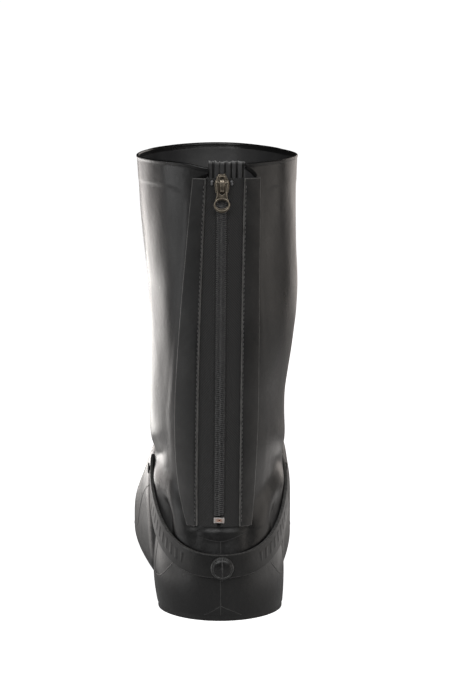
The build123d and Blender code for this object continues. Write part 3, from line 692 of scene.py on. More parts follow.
def relief(points):
    """Outward relief of the outer face: the reinforced area and its edges."""
    x, y, z = points[..., 0], points[..., 1], points[..., 2]
    left = np.interp(z, *np.array(LEFT_CONTOUR, float).T)
    right = np.interp(z, *np.array(RIGHT_CONTOUR, float).T)
    inside = np.minimum(x - left, right - x)
    inside = np.where(y > -5, -60.0, inside)
    ridge_line = RIDGE_UP + np.where(x < PART_LINE_X, 0.2 * (PART_LINE_X - x), 0.32 * (x - PART_LINE_X))
    inside = np.minimum(inside, z - ridge_line)
    top = z - BAND_HEIGHT - 0.6 * np.sin(x / 13.0)
    edge = soft_max(inside, top, 13.0)
    step = smoothstep(edge, -STEP_SOFTNESS, STEP_SOFTNESS) * RAISED
    # a trough under the loose lower edge of the zip panel
    under = smoothstep(x, -27, -17) * (1 - smoothstep(x, 14, 24)) * np.where(y > -5, 0, 1)
    trough = -TROUGH * under * smoothstep(z, 65.5, 70.0) * (1 - smoothstep(z, 72.5, 78))
    return step + trough

# ---------------------------------------------------------------- line of the strap
STRAP_WIDTH = 17.5
STRAP_THICK = 2.6
STRAP_SIDE = 52.3
STRAP_BACK = 70.4
STRAP_FRONT = 160.0
STRAP_LINE = (
    (-70.4, 41.5), (-57, 47), (-45, 54), (-32, 63), (-18, 75), (-4, 86.5), (14, 95), (34, 99.5), (43, 100.6),
)
SIDE_STUD = (27.0, 98.5)
SLOT_TILT = math.radians(22)
STRAP_TIP = 42.6
LEAN_INSET = 3.2


def strap_plan(y, inset):
    reach = np.where(y < 0, STRAP_BACK, STRAP_FRONT) - inset
    return (STRAP_SIDE - inset) * np.sqrt(np.maximum(0, 1 - (y / reach) ** 2))


# folds and dents of the soft ankle: centre, long direction, long and short reach, depth
FOLDS = (
    ((-46, -2, 94), (0.0, 1.0, 0.0), 36, 12, 1.5),
    ((-50, -6, 116), (0.0, 1.0, -0.3), 26, 8.5, -3.6),
    ((-41, -34, 77), (0.4, -0.6, -0.7), 15, 6.5, -4.2),
    ((-38, -42, 90), (0.45, -0.5, -0.75), 20, 8.0, 1.6),
    ((-28, -56, 93), (0.3, -0.2, -1.0), 18, 7.0, -0.9),
    ((46, -2, 93), (0.0, 1.0, 0.0), 36, 12, 1.5),
    ((48, -14, 114), (0.0, 1.0, -0.3), 24, 9, -2.0),
    ((41, -34, 78), (-0.4, -0.6, -0.7), 15, 6.5, -2.6),
    ((0, 92, 118), (1.0, 0.0, 0.0), 38, 7, -1.6),
    ((0, 112, 101), (1.0, 0.0, 0.0), 34, 6, -1.2),
)


def lean(points):
    """The slack ankle fills the space up to the strap: how far it moves, and how far it may."""
    x, y, z = points[..., 0], points[..., 1], points[..., 2]
    reach = np.where(y < 0, STRAP_BACK, STRAP_FRONT) - LEAN_INSET
    share = np.hypot(x / (STRAP_SIDE - LEAN_INSET), y / reach)
    room = (1 / np.maximum(share, 0.2) - 1) * np.hypot(x, y)
    line_y, line_z = np.array(STRAP_LINE).T
    above = z - np.interp(y, line_y, line_z)
    window = smoothstep(above, -34, -2) * (1 - smoothstep(above, 10, 44))
    window *= smoothstep(np.abs(x), 17, 32) * (1 - smoothstep(y, 20, 60))
    at_strap = np.exp(-((above / 13) ** 4)) * np.where(y < STRAP_TIP + 8, 1, 0)
    return np.clip(room, 0, 14) * window, np.where(at_strap > 0.3, np.maximum(room, -0.3), 30)


def folds(points, normals):
    """Outward movement from the ankle's folds."""
    total = np.zeros(points.shape[:-1])
    for centre, direction, long, short, depth in FOLDS:
        along = np.array(direction, float)
        along /= np.linalg.norm(along)
        rel = points - np.array(centre, float)
        a = rel @ along
        flat = rel - a[..., None] * along
        out = np.zeros(points.shape)
        out[..., :2] = normals
        flat = flat - (flat * out).sum(-1)[..., None] * out
        near = np.exp(-((a / long) ** 2) - (flat**2).sum(-1) / short**2)
        facing = (np.array(centre[:2], float) / np.linalg.norm(centre[:2]) * normals).sum(-1)
        total += depth * near * smoothstep(facing, -0.1, 0.35)
    return total


# upright stretch, length, seed and size of the slack's waves
SAG_WAVES = ((0.55, 62, 5, 0.55), (0.4, 24, 11, 0.14))


def sag(points):
    """Slack, uneven set of the soft rubber away from the zip panel and the sole."""
    free = smoothstep(np.hypot(points[..., 0], (points[..., 1] + 66) * 0.6), 26, 50)
    free *= smoothstep(points[..., 2], 14, 70)
    total = 0
    for stretch, scale, seed, size in SAG_WAVES:
        total = total + size * waves(points * (1, 1, stretch), scale, 9, seed)
    return free * total


RIM_DIPS = ((-9, 13, 3.4), (20, 9, 0.5))  # across, reach and depth
RIM_RISE = ((-75, -20, 35, 56, 75), (0, 1.2, 3.0, 4.5, 6.4))


def rim_dip(points):
    """The rim droops a little beside the gusset, more on the left."""
    x, y, z = points[..., 0], points[..., 1], points[..., 2]
    near_top = smoothstep(z, 300, 338)
    dip = sum(depth * np.exp(-(((x - at) / reach) ** 2)) for at, reach, depth in RIM_DIPS)
    return np.where(y < 0, near_top * dip, 0)


def rim_lift(points):
    """The rim rises to the front."""
    rise = np.interp(points[..., 1], *RIM_RISE)
    return smoothstep(points[..., 2], 290, 340) * rise


def shell_points(height, offset, lift, floor_at, outer):
    """One row of the shell's points: low rows follow floor_at, and only the outer face has relief."""
    loop, normal = ring(height, offset, lift)
    y = loop[:, 1]
    z = np.full(len(loop), float(height))
    if height < LOW:
        floor = floor_at(y)
        z = floor + (height - SOLE_TOP) / (LOW - SOLE_TOP) * (LOW - floor)
        # the outline belongs to the height it ends at
        for side in (-1, 1):
            pick = (loop[:, 0] * side > 0)
            level = z[pick] + lift
            loop[pick, 0] = side * half_width(y[pick], level, side) + normal[pick, 0] * offset
    points = np.column_stack([loop, z])
    push, room = lean(points)
    move = np.minimum(folds(points, normal) + sag(points) + push, room)
    if outer:
        move = move + relief(points)
    points[:, :2] += normal * move[:, None]
    points[:, 2] += rim_lift(points) - rim_dip(points)
    return points


outer_rows = [shell_points(z, 0.0, 0.0, bottom_at, True) for z in z_levels]
# the wall thins towards the rim
inner_rows = [
    shell_points(z, -WALL + 1.0 * smoothstep(z, 310, 334), WALL, insole_at, False) for z in z_levels
]
# rolled bead along the rim, from the outer face over to the inner one
BEAD = (
    (337.4, 0.0), (337.9, 0.12), (338.5, 0.34), (339.1, 0.45), (339.6, 0.36), (340.0, 0.05), (340.15, -0.35),
    (340.15, -0.8), (340.0, -1.25), (339.6, -1.6), (339.0, -1.75), (338.4, -1.72), (337.6, -1.62),
)
for height, offset in BEAD:
    row = shell_points(min(height, 340.2), offset, 0.0, bottom_at, True)
    row[:, 2] += height - min(height, 340.2)
    outer_rows.append(row)

cols = len(outer_rows[0])
open_cols = cols - N_SLIT[1] - N_SLIT[-1] + 1  # columns that are there above the slit's foot
outer = np.array(outer_rows)
inner = np.array(inner_rows)
n_out, n_in = len(outer), len(inner)

points = np.concatenate([outer.reshape(-1, 3), inner.reshape(-1, 3)])
inner_base = n_out * cols


def side_faces(rows, base, flip):
    """Faces of the outer or inner face: all round below the slit's foot, open at the slit above it."""
    low = grid_faces(SLIT_ROW + 1, cols, True, base, flip)
    strip = grid_faces(rows, cols, False, base, flip).reshape(rows - 1, cols - 1, 4)
    return np.concatenate([low, strip[SLIT_ROW:, : open_cols - 1].reshape(-1, 4)])


faces = [*side_faces(n_out, 0, False).tolist(), *side_faces(n_in, inner_base, True).tolist()]


def out_at(row, col):
    return row * cols + col % cols


def in_at(row, col):
    return inner_base + row * cols + col % cols


for row in range(SLIT_ROW, n_in - 1):
    faces.append([out_at(row, 0), out_at(row + 1, 0), in_at(row + 1, 0), in_at(row, 0)])
    last = open_cols - 1
    faces.append([out_at(row, last), in_at(row, last), in_at(row + 1, last), out_at(row + 1, last)])
for col in range(open_cols - 1, cols):
    faces.append([
        out_at(SLIT_ROW, col), in_at(SLIT_ROW, col), in_at(SLIT_ROW, col + 1), out_at(SLIT_ROW, col + 1),
    ])
for col in range(open_cols - 1):
    faces.append([
        out_at(n_out - 1, col), out_at(n_out - 1, col + 1), in_at(n_in - 1, col + 1), in_at(n_in - 1, col),
    ])
# the rim's cut ends at the slit
for col, turn in ((0, 1), (open_cols - 1, -1)):
    end = [out_at(row, col) for row in range(n_in - 1, n_out)] + [in_at(n_in - 1, col)]
    faces.append(end[::turn])


def cap(base_points, row_base, floor_at, flip):
    """A sheet across the bottom, from the left columns to the right ones."""
    global points
    start = len(points)
    centre = (cols - N_SLIT[1]) % cols  # column at the back, x = 0
    left = [(centre - k) % cols for k in range(N_SIDE + 1)]
    right = [(centre + k) % cols for k in range(N_SIDE + 1)]
    across = 22
    made = []
    for k in range(1, N_SIDE):
        a, b = base_points[left[k]], base_points[right[k]]
        for i in range(1, across):
            p = a + (b - a) * i / across
            p[2] = floor_at(p[1])
            made.append(p)
    points = np.concatenate([points, np.array(made)])
    table = np.zeros((N_SIDE + 1, across + 1), int)
    table[:, 0] = [row_base + c for c in left]
    table[:, across] = [row_base + c for c in right]
    table[0, :] = row_base + left[0]
    table[N_SIDE, :] = row_base + left[N_SIDE]
    table[1:N_SIDE, 1:across] = start + np.arange((N_SIDE - 1) * (across - 1)).reshape(N_SIDE - 1, across - 1)
    for k in range(N_SIDE):
        for i in range(across):
            quad = [table[k, i], table[k, i + 1], table[k + 1, i + 1], table[k + 1, i]]
            face = list(dict.fromkeys(int(q) for q in quad))
            if len(face) > 2:
                faces.append(face[::-1] if flip else face)


cap(outer[0], 0, bottom_at, False)
cap(inner[0], inner_base, insole_at, True)

shell = mesh_object("shell", points, faces)
smooth_by_angle(shell, 50)


# thin mould lines that stand on the outer face
def on_back(x, height, lift):
    base = back_surface(x, height, 0.0)
    normal = back_surface(x, height, 1.0) - base
    move = relief(base) + folds(base, normal[..., :2]) + sag(base) + lift
    return base + normal * move[..., None]


def dense(line, count):
    """Evenly spaced points along a line, with its corners softened and its ends kept."""
    out, _ = resample(np.array(line, float), count)
    kernel = np.hanning(9)[1:-1]
    kernel /= kernel.sum()
    padded = np.pad(out, ((3, 3), (0, 0)), mode="edge")
    soft = np.stack([np.convolve(padded[:, i], kernel, mode="valid") for i in range(out.shape[1])], -1)
    soft[0], soft[-1] = out[0], out[-1]
    return soft


def side_point(y, height, side, lift):
    """Points on the side of the boot at y and height."""
    y, height = np.broadcast_arrays(np.asarray(y, float), np.asarray(height, float))
    x = half_width(y, height, side)
    ahead, behind = half_width(y + 0.5, height, side), half_width(y - 0.5, height, side)
    normal = np.stack([np.full_like(x, float(side)), -(ahead - behind)], -1)
    normal = unit(normal)
    points = np.stack([side * x, y, height], -1)
    move = folds(points, normal) + sag(points) + relief(points) + lift
    points[:, :2] += normal * move[:, None]
    return points


V_RIDGE = ((-22.5, 63.8), (-14, 61.6), (-6, 59.9), (-1, 59.3), (5, 60.4), (13, 63.2), (20.5, 66.4))
U_LINES = {
    -1: ((-50, 46), (-43, 37), (-37, 31), (-30, 27), (-22, 26.5), (-17, 30), (-14.5, 38), (-13, 50)),
    1: ((-49, 48), (-42, 38), (-35, 31), (-29, 27.5), (-21, 27), (-16, 31), (-13.5, 40), (-12.5, 52)),
}
U_RADIUS = {-1: 0.45, 1: 0.4}
TOE_LINE = ((58, 80), (76, 72), (95, 60), (108, 48), (118, 36), (138, 30), (170, 27), (200, 25), (226, 22))
TOE_RADIUS = 0.42
SUNK = -0.12  # how deep the middle of a mould line lies in the face

line_parts = []
ridge = dense(V_RIDGE, 60)
line_parts.append(tube(on_back(ridge[:, 0], ridge[:, 1], -0.05), 0.26, 6))
part_z = np.linspace(59.5, 4.4, 70)
line_parts.append(tube(on_back(np.full(70, -1.0), part_z, -0.08), 0.34, 6, flat=(1.0, 0.1, 0.0)))
for foot_x in (-13.0, 14.5):
    chevron = dense(((-1.0, 11.5), (foot_x * 0.55, 7.4), (foot_x, 4.3)), 24)
    line_parts.append(tube(on_back(chevron[:, 0], chevron[:, 1], -0.16), 0.34, 6))
side_lines = [(side, dense(U_LINES[side], 70), U_RADIUS[side]) for side in (-1, 1)]
side_lines += [(side, dense(TOE_LINE, 120), TOE_RADIUS) for side in (-1, 1)]
for side, line, radius in side_lines:
    line_parts.append(tube(side_point(line[:, 0], line[:, 1], side, SUNK), radius, 6))
mould_lines = mesh_object("shell_mould_lines", *join(line_parts))

assign(shell, SHELL)
assign(mould_lines, MOULD_LINE)
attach(shell, "shell")
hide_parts("boot_shell")
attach(mould_lines, "shell")

# the inside is duller than the outside, and painted several times lighter: painted light for the light that
# falls into the shaft
shell.data.materials.append(INNER)
inner_share = np.zeros(len(shell.data.polygons), int)
for polygon in shell.data.polygons:
    if min(polygon.vertices) >= inner_base:
        inner_share[polygon.index] = 1
shell.data.polygons.foreach_set("material_index", inner_share)

# ---------------------------------------------------------------- sole pieces keep their CAD shapes
for node in ("heel_lift", "tread"):
    assign(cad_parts[node], SOLE)

# ---------------------------------------------------------------- bellows gusset
FOLD_COUNT = 13
GUSSET_THICKNESS = 0.8
GUSSET_DEPTH = 9.0
GUSSET_START = -61.3 + 5.0
ZIP_LEAN = (ZIP_FOOT[1] - ZIP_HEAD[1]) / (ZIP_HEAD[2] - ZIP_FOOT[2])
fold_pitch = (27.0 - GUSSET_THICKNESS - 0.1) / (FOLD_COUNT - 1)
fold_radius = fold_pitch / 2
first_fold = -10.0 + GUSSET_THICKNESS / 2 + 0.05
run = GUSSET_DEPTH - 2 * fold_radius


def gusset_line():
    """Middle line of the folded cloth in plan, and which fold each point is on."""
    line, fold = [], []
    for i in range(FOLD_COUNT):
        x = first_fold + i * fold_pitch
        ends = (fold_radius, fold_radius + run) if i % 2 else (fold_radius + run, fold_radius)
        for s in np.linspace(0, 1, 6):
            line.append((x, ends[0] + (ends[1] - ends[0]) * s))
            fold.append(i)
        if i < FOLD_COUNT - 1:
            centre = (x + fold_radius, ends[1])
            sweep = 1 if i % 2 else -1
            for a in np.linspace(0, math.pi, 7)[1:-1]:
                line.append((
                    centre[0] - fold_radius * math.cos(a), centre[1] + sweep * fold_radius * math.sin(a),
                ))
                fold.append(i + a / math.pi)
    return np.array(line), np.array(fold)


def per_fold(values):
    """One value per fold, carried smoothly along the middle line."""
    return np.interp(fold_at, np.arange(FOLD_COUNT + 1), values)


plan, fold_at = gusset_line()
along = np.gradient(plan, axis=0)
along = unit(along)
across = np.stack([along[:, 1], -along[:, 0]], -1)
rng = np.random.default_rng(4)
fold_rise = rng.uniform(-0.9, 0.9, FOLD_COUNT + 1)
fold_lean = rng.uniform(-0.55, 0.55, FOLD_COUNT + 1)
fold_set = rng.uniform(-1.3, 1.3, FOLD_COUNT + 1)
gusset_z = np.concatenate([np.linspace(72.4, 300, 60), np.linspace(302, 340.6, 34)])
half = GUSSET_THICKNESS / 2
edge_value = []
gusset_rows = []
for j, z in enumerate(gusset_z):
    top = smoothstep(z, 285, 341)
    drift, depth = per_fold(fold_lean) * top, per_fold(fold_set) * top
    rise = per_fold(fold_rise) * smoothstep(z, 325, 341)
    wrinkle = 0.12 * np.sin(z * 0.21 + fold_at * 2.1) * top
    ramp = GUSSET_START - ZIP_LEAN * (z - SLIT_BOTTOM)
    thin = 1.0 if j < len(gusset_z) - 1 else 0.72
    for sign in (1, -1):
        line = plan + across * sign * half * thin * (1 + 0.45 * top)
        gusset_rows.append(np.column_stack([
            line[:, 0] + drift + wrinkle,
            line[:, 1] * (1 - 0.72 * top) + depth * 0.6 + ramp,
            np.full(len(line), z) + rise,
        ]))
    # the pleats' top edge gets a painted highlight through the edge attribute
    edge_value.append(smoothstep(z, 339.0, 340.4))
n_plan = len(plan)
g_rows = len(gusset_z)
stack = np.array(gusset_rows).reshape(g_rows, 2, n_plan, 3)
loop = np.concatenate([stack[:, 0], stack[:, 1, ::-1]], axis=1)
g_cols = loop.shape[1]
g_faces = grid_faces(g_rows, g_cols, True).tolist() + end_quads(g_rows, g_cols, n_plan)
gusset = mesh_object(
    "gusset", loop.reshape(-1, 3), g_faces, attributes={"edge": np.repeat(edge_value, g_cols)},
)
smooth_by_angle(gusset, 50)
assign(gusset, BELLOWS)
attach(gusset, "shell")
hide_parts("rear_gusset")

# ---------------------------------------------------------------- flaps and tapes
FLAP_OUTER = {
    -1: ((-21.8, PANEL_BOTTOM), (-30.4, 125), (-30.6, 175), (-26.5, 245), (-20.2, PANEL_TOP)),
    1: ((22.8, PANEL_BOTTOM), (26.2, 125), (27.2, 175), (27.2, 245), (27, PANEL_TOP)),
}
FLAP_INNER = {
    -1: ((-15, PANEL_BOTTOM), (-14.4, 215), (-11.0, PANEL_TOP)),
    1: ((14.4, PANEL_BOTTOM), (14.8, 215), (15.6, PANEL_TOP)),
}
WORD = {-1: "left", 1: "right"}


def curve_at(points, height):
    """A smooth line through (across, height) points, read at heights."""
    points = np.array(points, float)
    coefficients = np.polyfit(points[:, 1] / 100, points[:, 0], len(points) - 1)
    return np.polyval(coefficients, np.asarray(height, float) / 100)


def thick_sheet(name, height, near, far, bottom_lift, top_lift, columns, rounding, ragged=0.0):
    """A sheet on the back of the leg: near and far are across values per row, lifts are functions."""
    u = np.linspace(0, 1, columns)
    rows = []
    edges = []
    for z, a, b in zip(height, near, far):
        width = abs(b - a)
        t = u.copy()
        x = a + (b - a) * t + zip_x(z)
        from_edge = np.minimum(t, 1 - t) * width
        low = bottom_lift(t, z)
        high = top_lift(t, z)
        end = min((z - height[0]), (height[-1] - z))
        fall = rounding_fall(from_edge, rounding)
        fall = np.maximum(fall, rounding * (1 - math.sqrt(max(0, 1 - (1 - min(1, end / rounding)) ** 2))))
        high = np.maximum(high - fall, low + 0.1)
        top = back_surface(x, z, high)
        under = back_surface(x, z, low)
        if ragged:
            slump = ragged * np.array([math.sin(v * 1.9 + a) * 0.5 + math.sin(v * 4.7) * 0.3 for v in x])
            if end == 0 and z < 100:
                top[:, 2] += slump
                under[:, 2] += slump
        rows.append(np.concatenate([top, under[::-1]]))
        # For the flaps these edge values place a painted highlight along the cut edges and ends.
        near_edge = np.maximum(1 - from_edge / 0.8, 0)
        if end < 0.4:
            near_edge = np.maximum(near_edge, 0.8)
        edges.append(np.concatenate([near_edge, near_edge[::-1]]))
    rows = np.array(rows)
    count = rows.shape[1]
    sheet_faces = grid_faces(len(rows), count, True).tolist() + end_quads(len(rows), count, columns)
    made = mesh_object(name, rows.reshape(-1, 3), sheet_faces, attributes={"edge": np.array(edges).ravel()})
    turn_faces_out(made)
    smooth_by_angle(made, 60)
    return made


def edge_steps(count, tight):
    """0 to 1 with small steps at both ends."""
    return (1 - np.cos(np.linspace(0, math.pi, count))) / 2 * tight + np.linspace(0, 1, count) * (1 - tight)


flap_heights = PANEL_BOTTOM + (PANEL_TOP - PANEL_BOTTOM) * edge_steps(190, 0.5)
flap_heights = np.unique(np.concatenate([flap_heights, PANEL_BOTTOM + np.array([0.1, 0.3, 0.6, 1.0]),
                                         PANEL_TOP - np.array([0.1, 0.3, 0.6, 1.0])]))


def flap_top(side):
    def lift(t, z):
        spot = np.stack([t * 20 + side * 30, np.zeros_like(t), np.full_like(t, z)], -1)
        lift_up = 3.2 + 0.16 * waves(spot, 34, 6, 3) + 0.05 * waves(spot, 9, 6, 8)
        corner = smoothstep(z, 311, 330) * (1 - t) * 0.9
        channel = -0.5 * np.exp(-(((t * 14 - 0.9) / 0.55) ** 2))
        return lift_up + corner + channel
    return lift


def flap_under(side):
    def lift(t, z):
        return 1.15 + smoothstep(z, 311, 330) * (1 - t) * 0.9 + 0 * t
    return lift


for side in (-1, 1):
    near = curve_at(FLAP_INNER[side], flap_heights)
    far = curve_at(FLAP_OUTER[side], flap_heights)
    flap = thick_sheet(
        f"{WORD[side]}_flap", flap_heights, near, far, flap_under(side), flap_top(side), 46, 0.55, 0.9,
    )
    assign(flap, FLAP)
    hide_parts(f"{WORD[side]}_zip_flap")
    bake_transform(flap)

    tape_heights = np.concatenate([np.linspace(PANEL_BOTTOM, 312, 130), np.linspace(313.5, PANEL_TOP, 16)])
    inner_edge = np.interp(tape_heights, (0, 316, 321, 330), (1.2, 1.2, 2.8, 2.8)) * side
    outer_edge = np.full_like(tape_heights, 19.0 * side)
    tape = thick_sheet(
        f"{WORD[side]}_tape", tape_heights, inner_edge, outer_edge,
        lambda t, z: 0.2 + 0 * t, lambda t, z: 0.85 + 0 * t, 24, 0.2,
    )
    assign(tape, TAPE)
    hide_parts(f"{WORD[side]}_zip_tape")
    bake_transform(tape)


# ---------------------------------------------------------------- flap stitching
def capsule(start, end, radius, out, rise, steps=7, sides=6):
    """A sewn stitch that comes up out of one hole and goes down into the next."""
    t = np.linspace(0, 1, steps)
    arch = np.sin(t * math.pi) ** 0.6 * rise
    path = start + (end - start) * t[:, None] + out * (arch - 0.25)[:, None]
    size = radius * (0.75 + 0.25 * np.sin(t * math.pi))
    return tube(path, size, sides, flat=out)


STITCH_PITCH = 3.3
STITCH_HALF = 0.95
SEAM_INSET = 0.95
SEAM_ENDS = 3
for side in (-1, 1):
    stitches = []
    rng = np.random.default_rng(21 + side)
    count = int((PANEL_TOP - PANEL_BOTTOM - 2 * SEAM_ENDS) / STITCH_PITCH)
    for i in range(count):
        z = PANEL_BOTTOM + SEAM_ENDS + STITCH_PITCH * (i + 0.5)
        across_at = float(curve_at(FLAP_INNER[side], z)) + side * SEAM_INSET + rng.normal(0, 0.06)
        width = float(abs(curve_at(FLAP_OUTER[side], z) - curve_at(FLAP_INNER[side], z)))
        t = np.array([SEAM_INSET / width])
        lift = float(flap_top(side)(t, z)[0]) + 0.12
        low, high = z - STITCH_HALF, z + STITCH_HALF
        a = back_surface(across_at + zip_x(low) - 0.16 * side, low, lift)
        b = back_surface(across_at + zip_x(high) + 0.16 * side, high, lift)
        out = back_surface(across_at + zip_x(z), z, lift + 1) - back_surface(across_at + zip_x(z), z, lift)
        stitches.append(capsule(a, b, 0.34, out, 0.34))
    sewn = mesh_object(f"{WORD[side]}_stitches", *join(stitches))
    assign(sewn, THREAD)
    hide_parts(f"{WORD[side]}_flap_stitching")
    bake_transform(sewn)

# ---------------------------------------------------------------- chain: two helical coils, sewn on
CHAIN_BOTTOM = 79.0
CHAIN_TOP = 326.2
TURN = 1.5
WIRE = 0.33
COIL_STEPS = 18
COIL_OUT = 2.0
turns = int((up_zip(CHAIN_TOP) - up_zip(CHAIN_BOTTOM)) / TURN) - 1
for side in (-1, 1):
    shift = 0.0 if side < 0 else TURN / 2
    phase = np.arange(turns * COIL_STEPS) / COIL_STEPS
    angle = phase * 2 * math.pi
    # a flattened loop: long across, a blunt head past the middle of the chain
    reach = np.cos(angle)
    across_line = side * (1.3 - 2.05 * reach + 0.12 * np.cos(2 * angle))
    out_line = COIL_OUT + 0.68 * np.sin(angle) * (1 - 0.15 * reach)
    up_line = up_zip(CHAIN_BOTTOM) + TURN * (phase + 0.2) + shift
    path = zip_point(across_line, up_line, out_line)
    coil = mesh_object(f"{WORD[side]}_coil", *tube(path, WIRE, 6, flat=zip_up))
    assign(coil, COIL)
    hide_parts(f"{WORD[side]}_zip_coil")
    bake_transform(coil)

    seams = []
    for lane, pitch in ((2.35, 3.0), (5.1, 2.6)):
        n = int((up_zip(CHAIN_TOP - 6) - up_zip(CHAIN_BOTTOM)) / pitch)
        for i in range(n):
            v = up_zip(CHAIN_BOTTOM) + pitch * (i + 0.5)
            z = ZIP_FOOT[2] + v * zip_up[2]
            if lane < 3:
                a = zip_point(side * (lane - 0.12), v - pitch * 0.46, 2.72)
                b = zip_point(side * (lane + 0.12), v + pitch * 0.46, 2.72)
                seams.append(capsule(a, b, 0.27, zip_out, 0.22))
            else:
                x = side * lane
                a = back_surface(x + zip_x(z) - 0.1, z - 0.85, 0.95)
                b = back_surface(x + zip_x(z) + 0.1, z + 0.85, 0.95)
                seams.append(capsule(a, b, 0.22, zip_out, 0.2))
    sewing = mesh_object(f"{WORD[side]}_chain_sewing", *join(seams))
    assign(sewing, CHAIN_THREAD)
    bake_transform(sewing)


# ---------------------------------------------------------------- stops
def rounded(half_wide, low, high, radius, steps=5):
    """Closed outline of a rectangle with round corners."""
    loop = []
    for cx, cv, start in ((half_wide - radius, high - radius, 0), (-half_wide + radius, high - radius, 90),
                          (-half_wide + radius, low + radius, 180), (half_wide - radius, low + radius, 270)):
        for a in np.linspace(start, start + 90, steps):
            loop.append((cx + radius * math.cos(math.radians(a)), cv + radius * math.sin(math.radians(a))))
    return loop


def mark_edges(obj):
    """An edge attribute from how sharply the surface turns at each point."""
    mesh = obj.data
    bm = bmesh.new()
    bm.from_mesh(mesh)
    values = []
    for vert in bm.verts:
        turn = max((e.calc_face_angle(0) for e in vert.link_edges if len(e.link_faces) == 2), default=0)
        values.append(min(1.0, turn / math.radians(30)))
    bm.free()
    set_edge(obj, values)


stop_mid = up_zip(75.8)
dimple = oval(0.2, stop_mid - 0.1, 0.5, 0.5, 14)
stop_outline = rounded(3.8, stop_mid - 2.0, stop_mid + 2.0, 0.5)
stop = plate("bottom_stop", [stop_outline, dimple], 1.5, 0.2, zip_point, 1.0)
for side in (-1, 1):
    prong_outline = [(a + side * 3.3, v) for a, v in rounded(0.55, stop_mid - 2.1, stop_mid + 2.1, 0.3)]
    prong = plate(f"stop_prong{side}", [prong_outline], 1.9, 0.25, zip_point, 0.85)
    add_mesh(stop, prong)
co = np.array([v.co for v in stop.data.vertices]) / MM - ZIP_FOOT
set_edge(stop, smoothstep(np.abs(co @ zip_across), 2.3, 3.1))
assign(stop, STOP)
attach(stop, "shell")
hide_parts("zip_bottom_stop")

for side in (-1, 1):
    mid = up_zip(325.8)
    top_stop_outline = [(a + side * 7.1, v) for a, v in rounded(0.95, mid - 1.8, mid + 1.8, 0.6)]
    top_stop = plate(f"{WORD[side]}_stop", [top_stop_outline], 1.5, 0.35, zip_point, 1.0)
    mark_edges(top_stop)
    assign(top_stop, TOP_STOP)
    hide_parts(f"{WORD[side]}_top_stop")
    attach(top_stop, f"{WORD[side]}_leaf")

# ---------------------------------------------------------------- slider
slider_top = up_zip(332.4)
slider_bottom = slider_top - 14.0
HALF = 5.2


def chaikin(loop, rounds=2):
    """A closed outline with its corners rounded off."""
    loop = np.array(loop, float)
    for _ in range(rounds):
        nxt = np.roll(loop, -1, axis=0)
        loop = np.stack([loop * 0.75 + nxt * 0.25, loop * 0.25 + nxt * 0.75], 1).reshape(-1, 2)
    return [tuple(p) for p in loop]


def body_outline(inset):
    half = [
        (HALF - 0.9 - inset, slider_bottom + inset), (HALF - 0.3 - inset, slider_bottom + 2.5),
        (HALF - inset, slider_bottom + 5), (HALF - inset, slider_top - 5.6),
        (HALF - 1.0 - inset, slider_top - 3.4), (3.0, slider_top - 1.2 - inset), (1.6, slider_top - inset),
    ]
    return half + [(-a, v) for a, v in half[::-1]]


slider = plate("slider_plates", [chaikin(body_outline(0))], 1.25, 0.4, zip_point, 3.4)
under = plate("slider_under", [chaikin(body_outline(0.1))], 1.2, 0.35, zip_point, -1.6)
add_mesh(slider, under)
wedge_half = [(0.4, slider_top - 5), (2.1, slider_top - 2), (1.7, slider_top - 0.2)]
wedge_outline = chaikin(wedge_half + [(-a, v) for a, v in wedge_half[::-1]], 1)
wedge = plate("slider_wedge", [wedge_outline], 5.0, 0.2, zip_point, -1.5)
add_mesh(slider, wedge)
for side in (-1, 1):
    wall_line = ((4.0, 0.3), (4.6, 0.3), (5.1, 5), (5.1, 8), (4.2, 8.4))
    wall_outline = chaikin([(side * a, slider_bottom + v) for a, v in wall_line], 1)
    wall = plate(f"slider_wall{side}", [wall_outline], 2.4, 0.2, zip_point, 1.35)
    add_mesh(slider, wall)
mark_edges(slider)
assign(slider, BRASS)
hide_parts("slider_body")


BAR_SIDES = 20


def bar(name, centre_line, half_wide, half_thick):
    """A bar with a rounded section along (up, out) points in the middle plane of the zip."""
    line = np.array(centre_line, float)
    along = np.gradient(line, axis=0)
    along = unit(along)
    normal = np.stack([-along[:, 1], along[:, 0]], -1)
    angles = np.linspace(0, 2 * math.pi, BAR_SIDES, endpoint=False)
    c = np.sign(np.cos(angles)) * np.abs(np.cos(angles)) ** 0.55
    s = np.sign(np.sin(angles)) * np.abs(np.sin(angles)) ** 0.75
    wide = np.broadcast_to(half_wide, len(line))
    rows = []
    for (v, w), n, hw in zip(line, normal, wide):
        rows.append(zip_point(c * hw, v + n[0] * s * half_thick, w + n[1] * s * half_thick))
    made = mesh_object(name, np.array(rows).reshape(-1, 3), rod_faces(len(rows), BAR_SIDES))
    turn_faces_out(made)
    return made


crown_line = dense((
    (slider_bottom + 0.9, 4.3), (slider_bottom + 1.3, 6.3), (slider_bottom + 2.4, 7.9),
    (slider_bottom + 5.0, 8.45), (slider_bottom + 9.0, 8.4), (slider_top - 3.6, 7.7),
    (slider_top - 2.4, 6.2), (slider_top - 1.7, 4.3),
), 40)
crown_width = np.interp(np.linspace(0, 1, 40), (0, 0.3, 0.55, 0.85, 1), (1.55, 1.45, 1.75, 1.65, 1.4))
crown = bar("slider_crown_arch", crown_line, crown_width, 0.55)
cradle = plate(
    "crown_cradle", [rounded(2.2, slider_top - 4.6, slider_top - 1.0, 0.9)], 1.2, 0.35, zip_point, 4.5,
)
add_mesh(crown, cradle)
set_edge(crown, np.full(len(crown.data.vertices), 0.75))
assign(crown, BRASS)
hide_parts("slider_crown")
spring_line = dense((
    (slider_top - 5.2, 7.45), (slider_bottom + 6, 7.5), (slider_bottom + 4.4, 7.2),
    (slider_bottom + 3.9, 6.0), (slider_bottom + 3.8, 3.6),
), 26)
spring = bar("lock_spring", spring_line, 0.65, 0.18)
mark_edges(spring)
assign(spring, BRASS)
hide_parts("slider_lock_spring")
for piece in (slider, crown, spring):
    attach(piece, "slider")

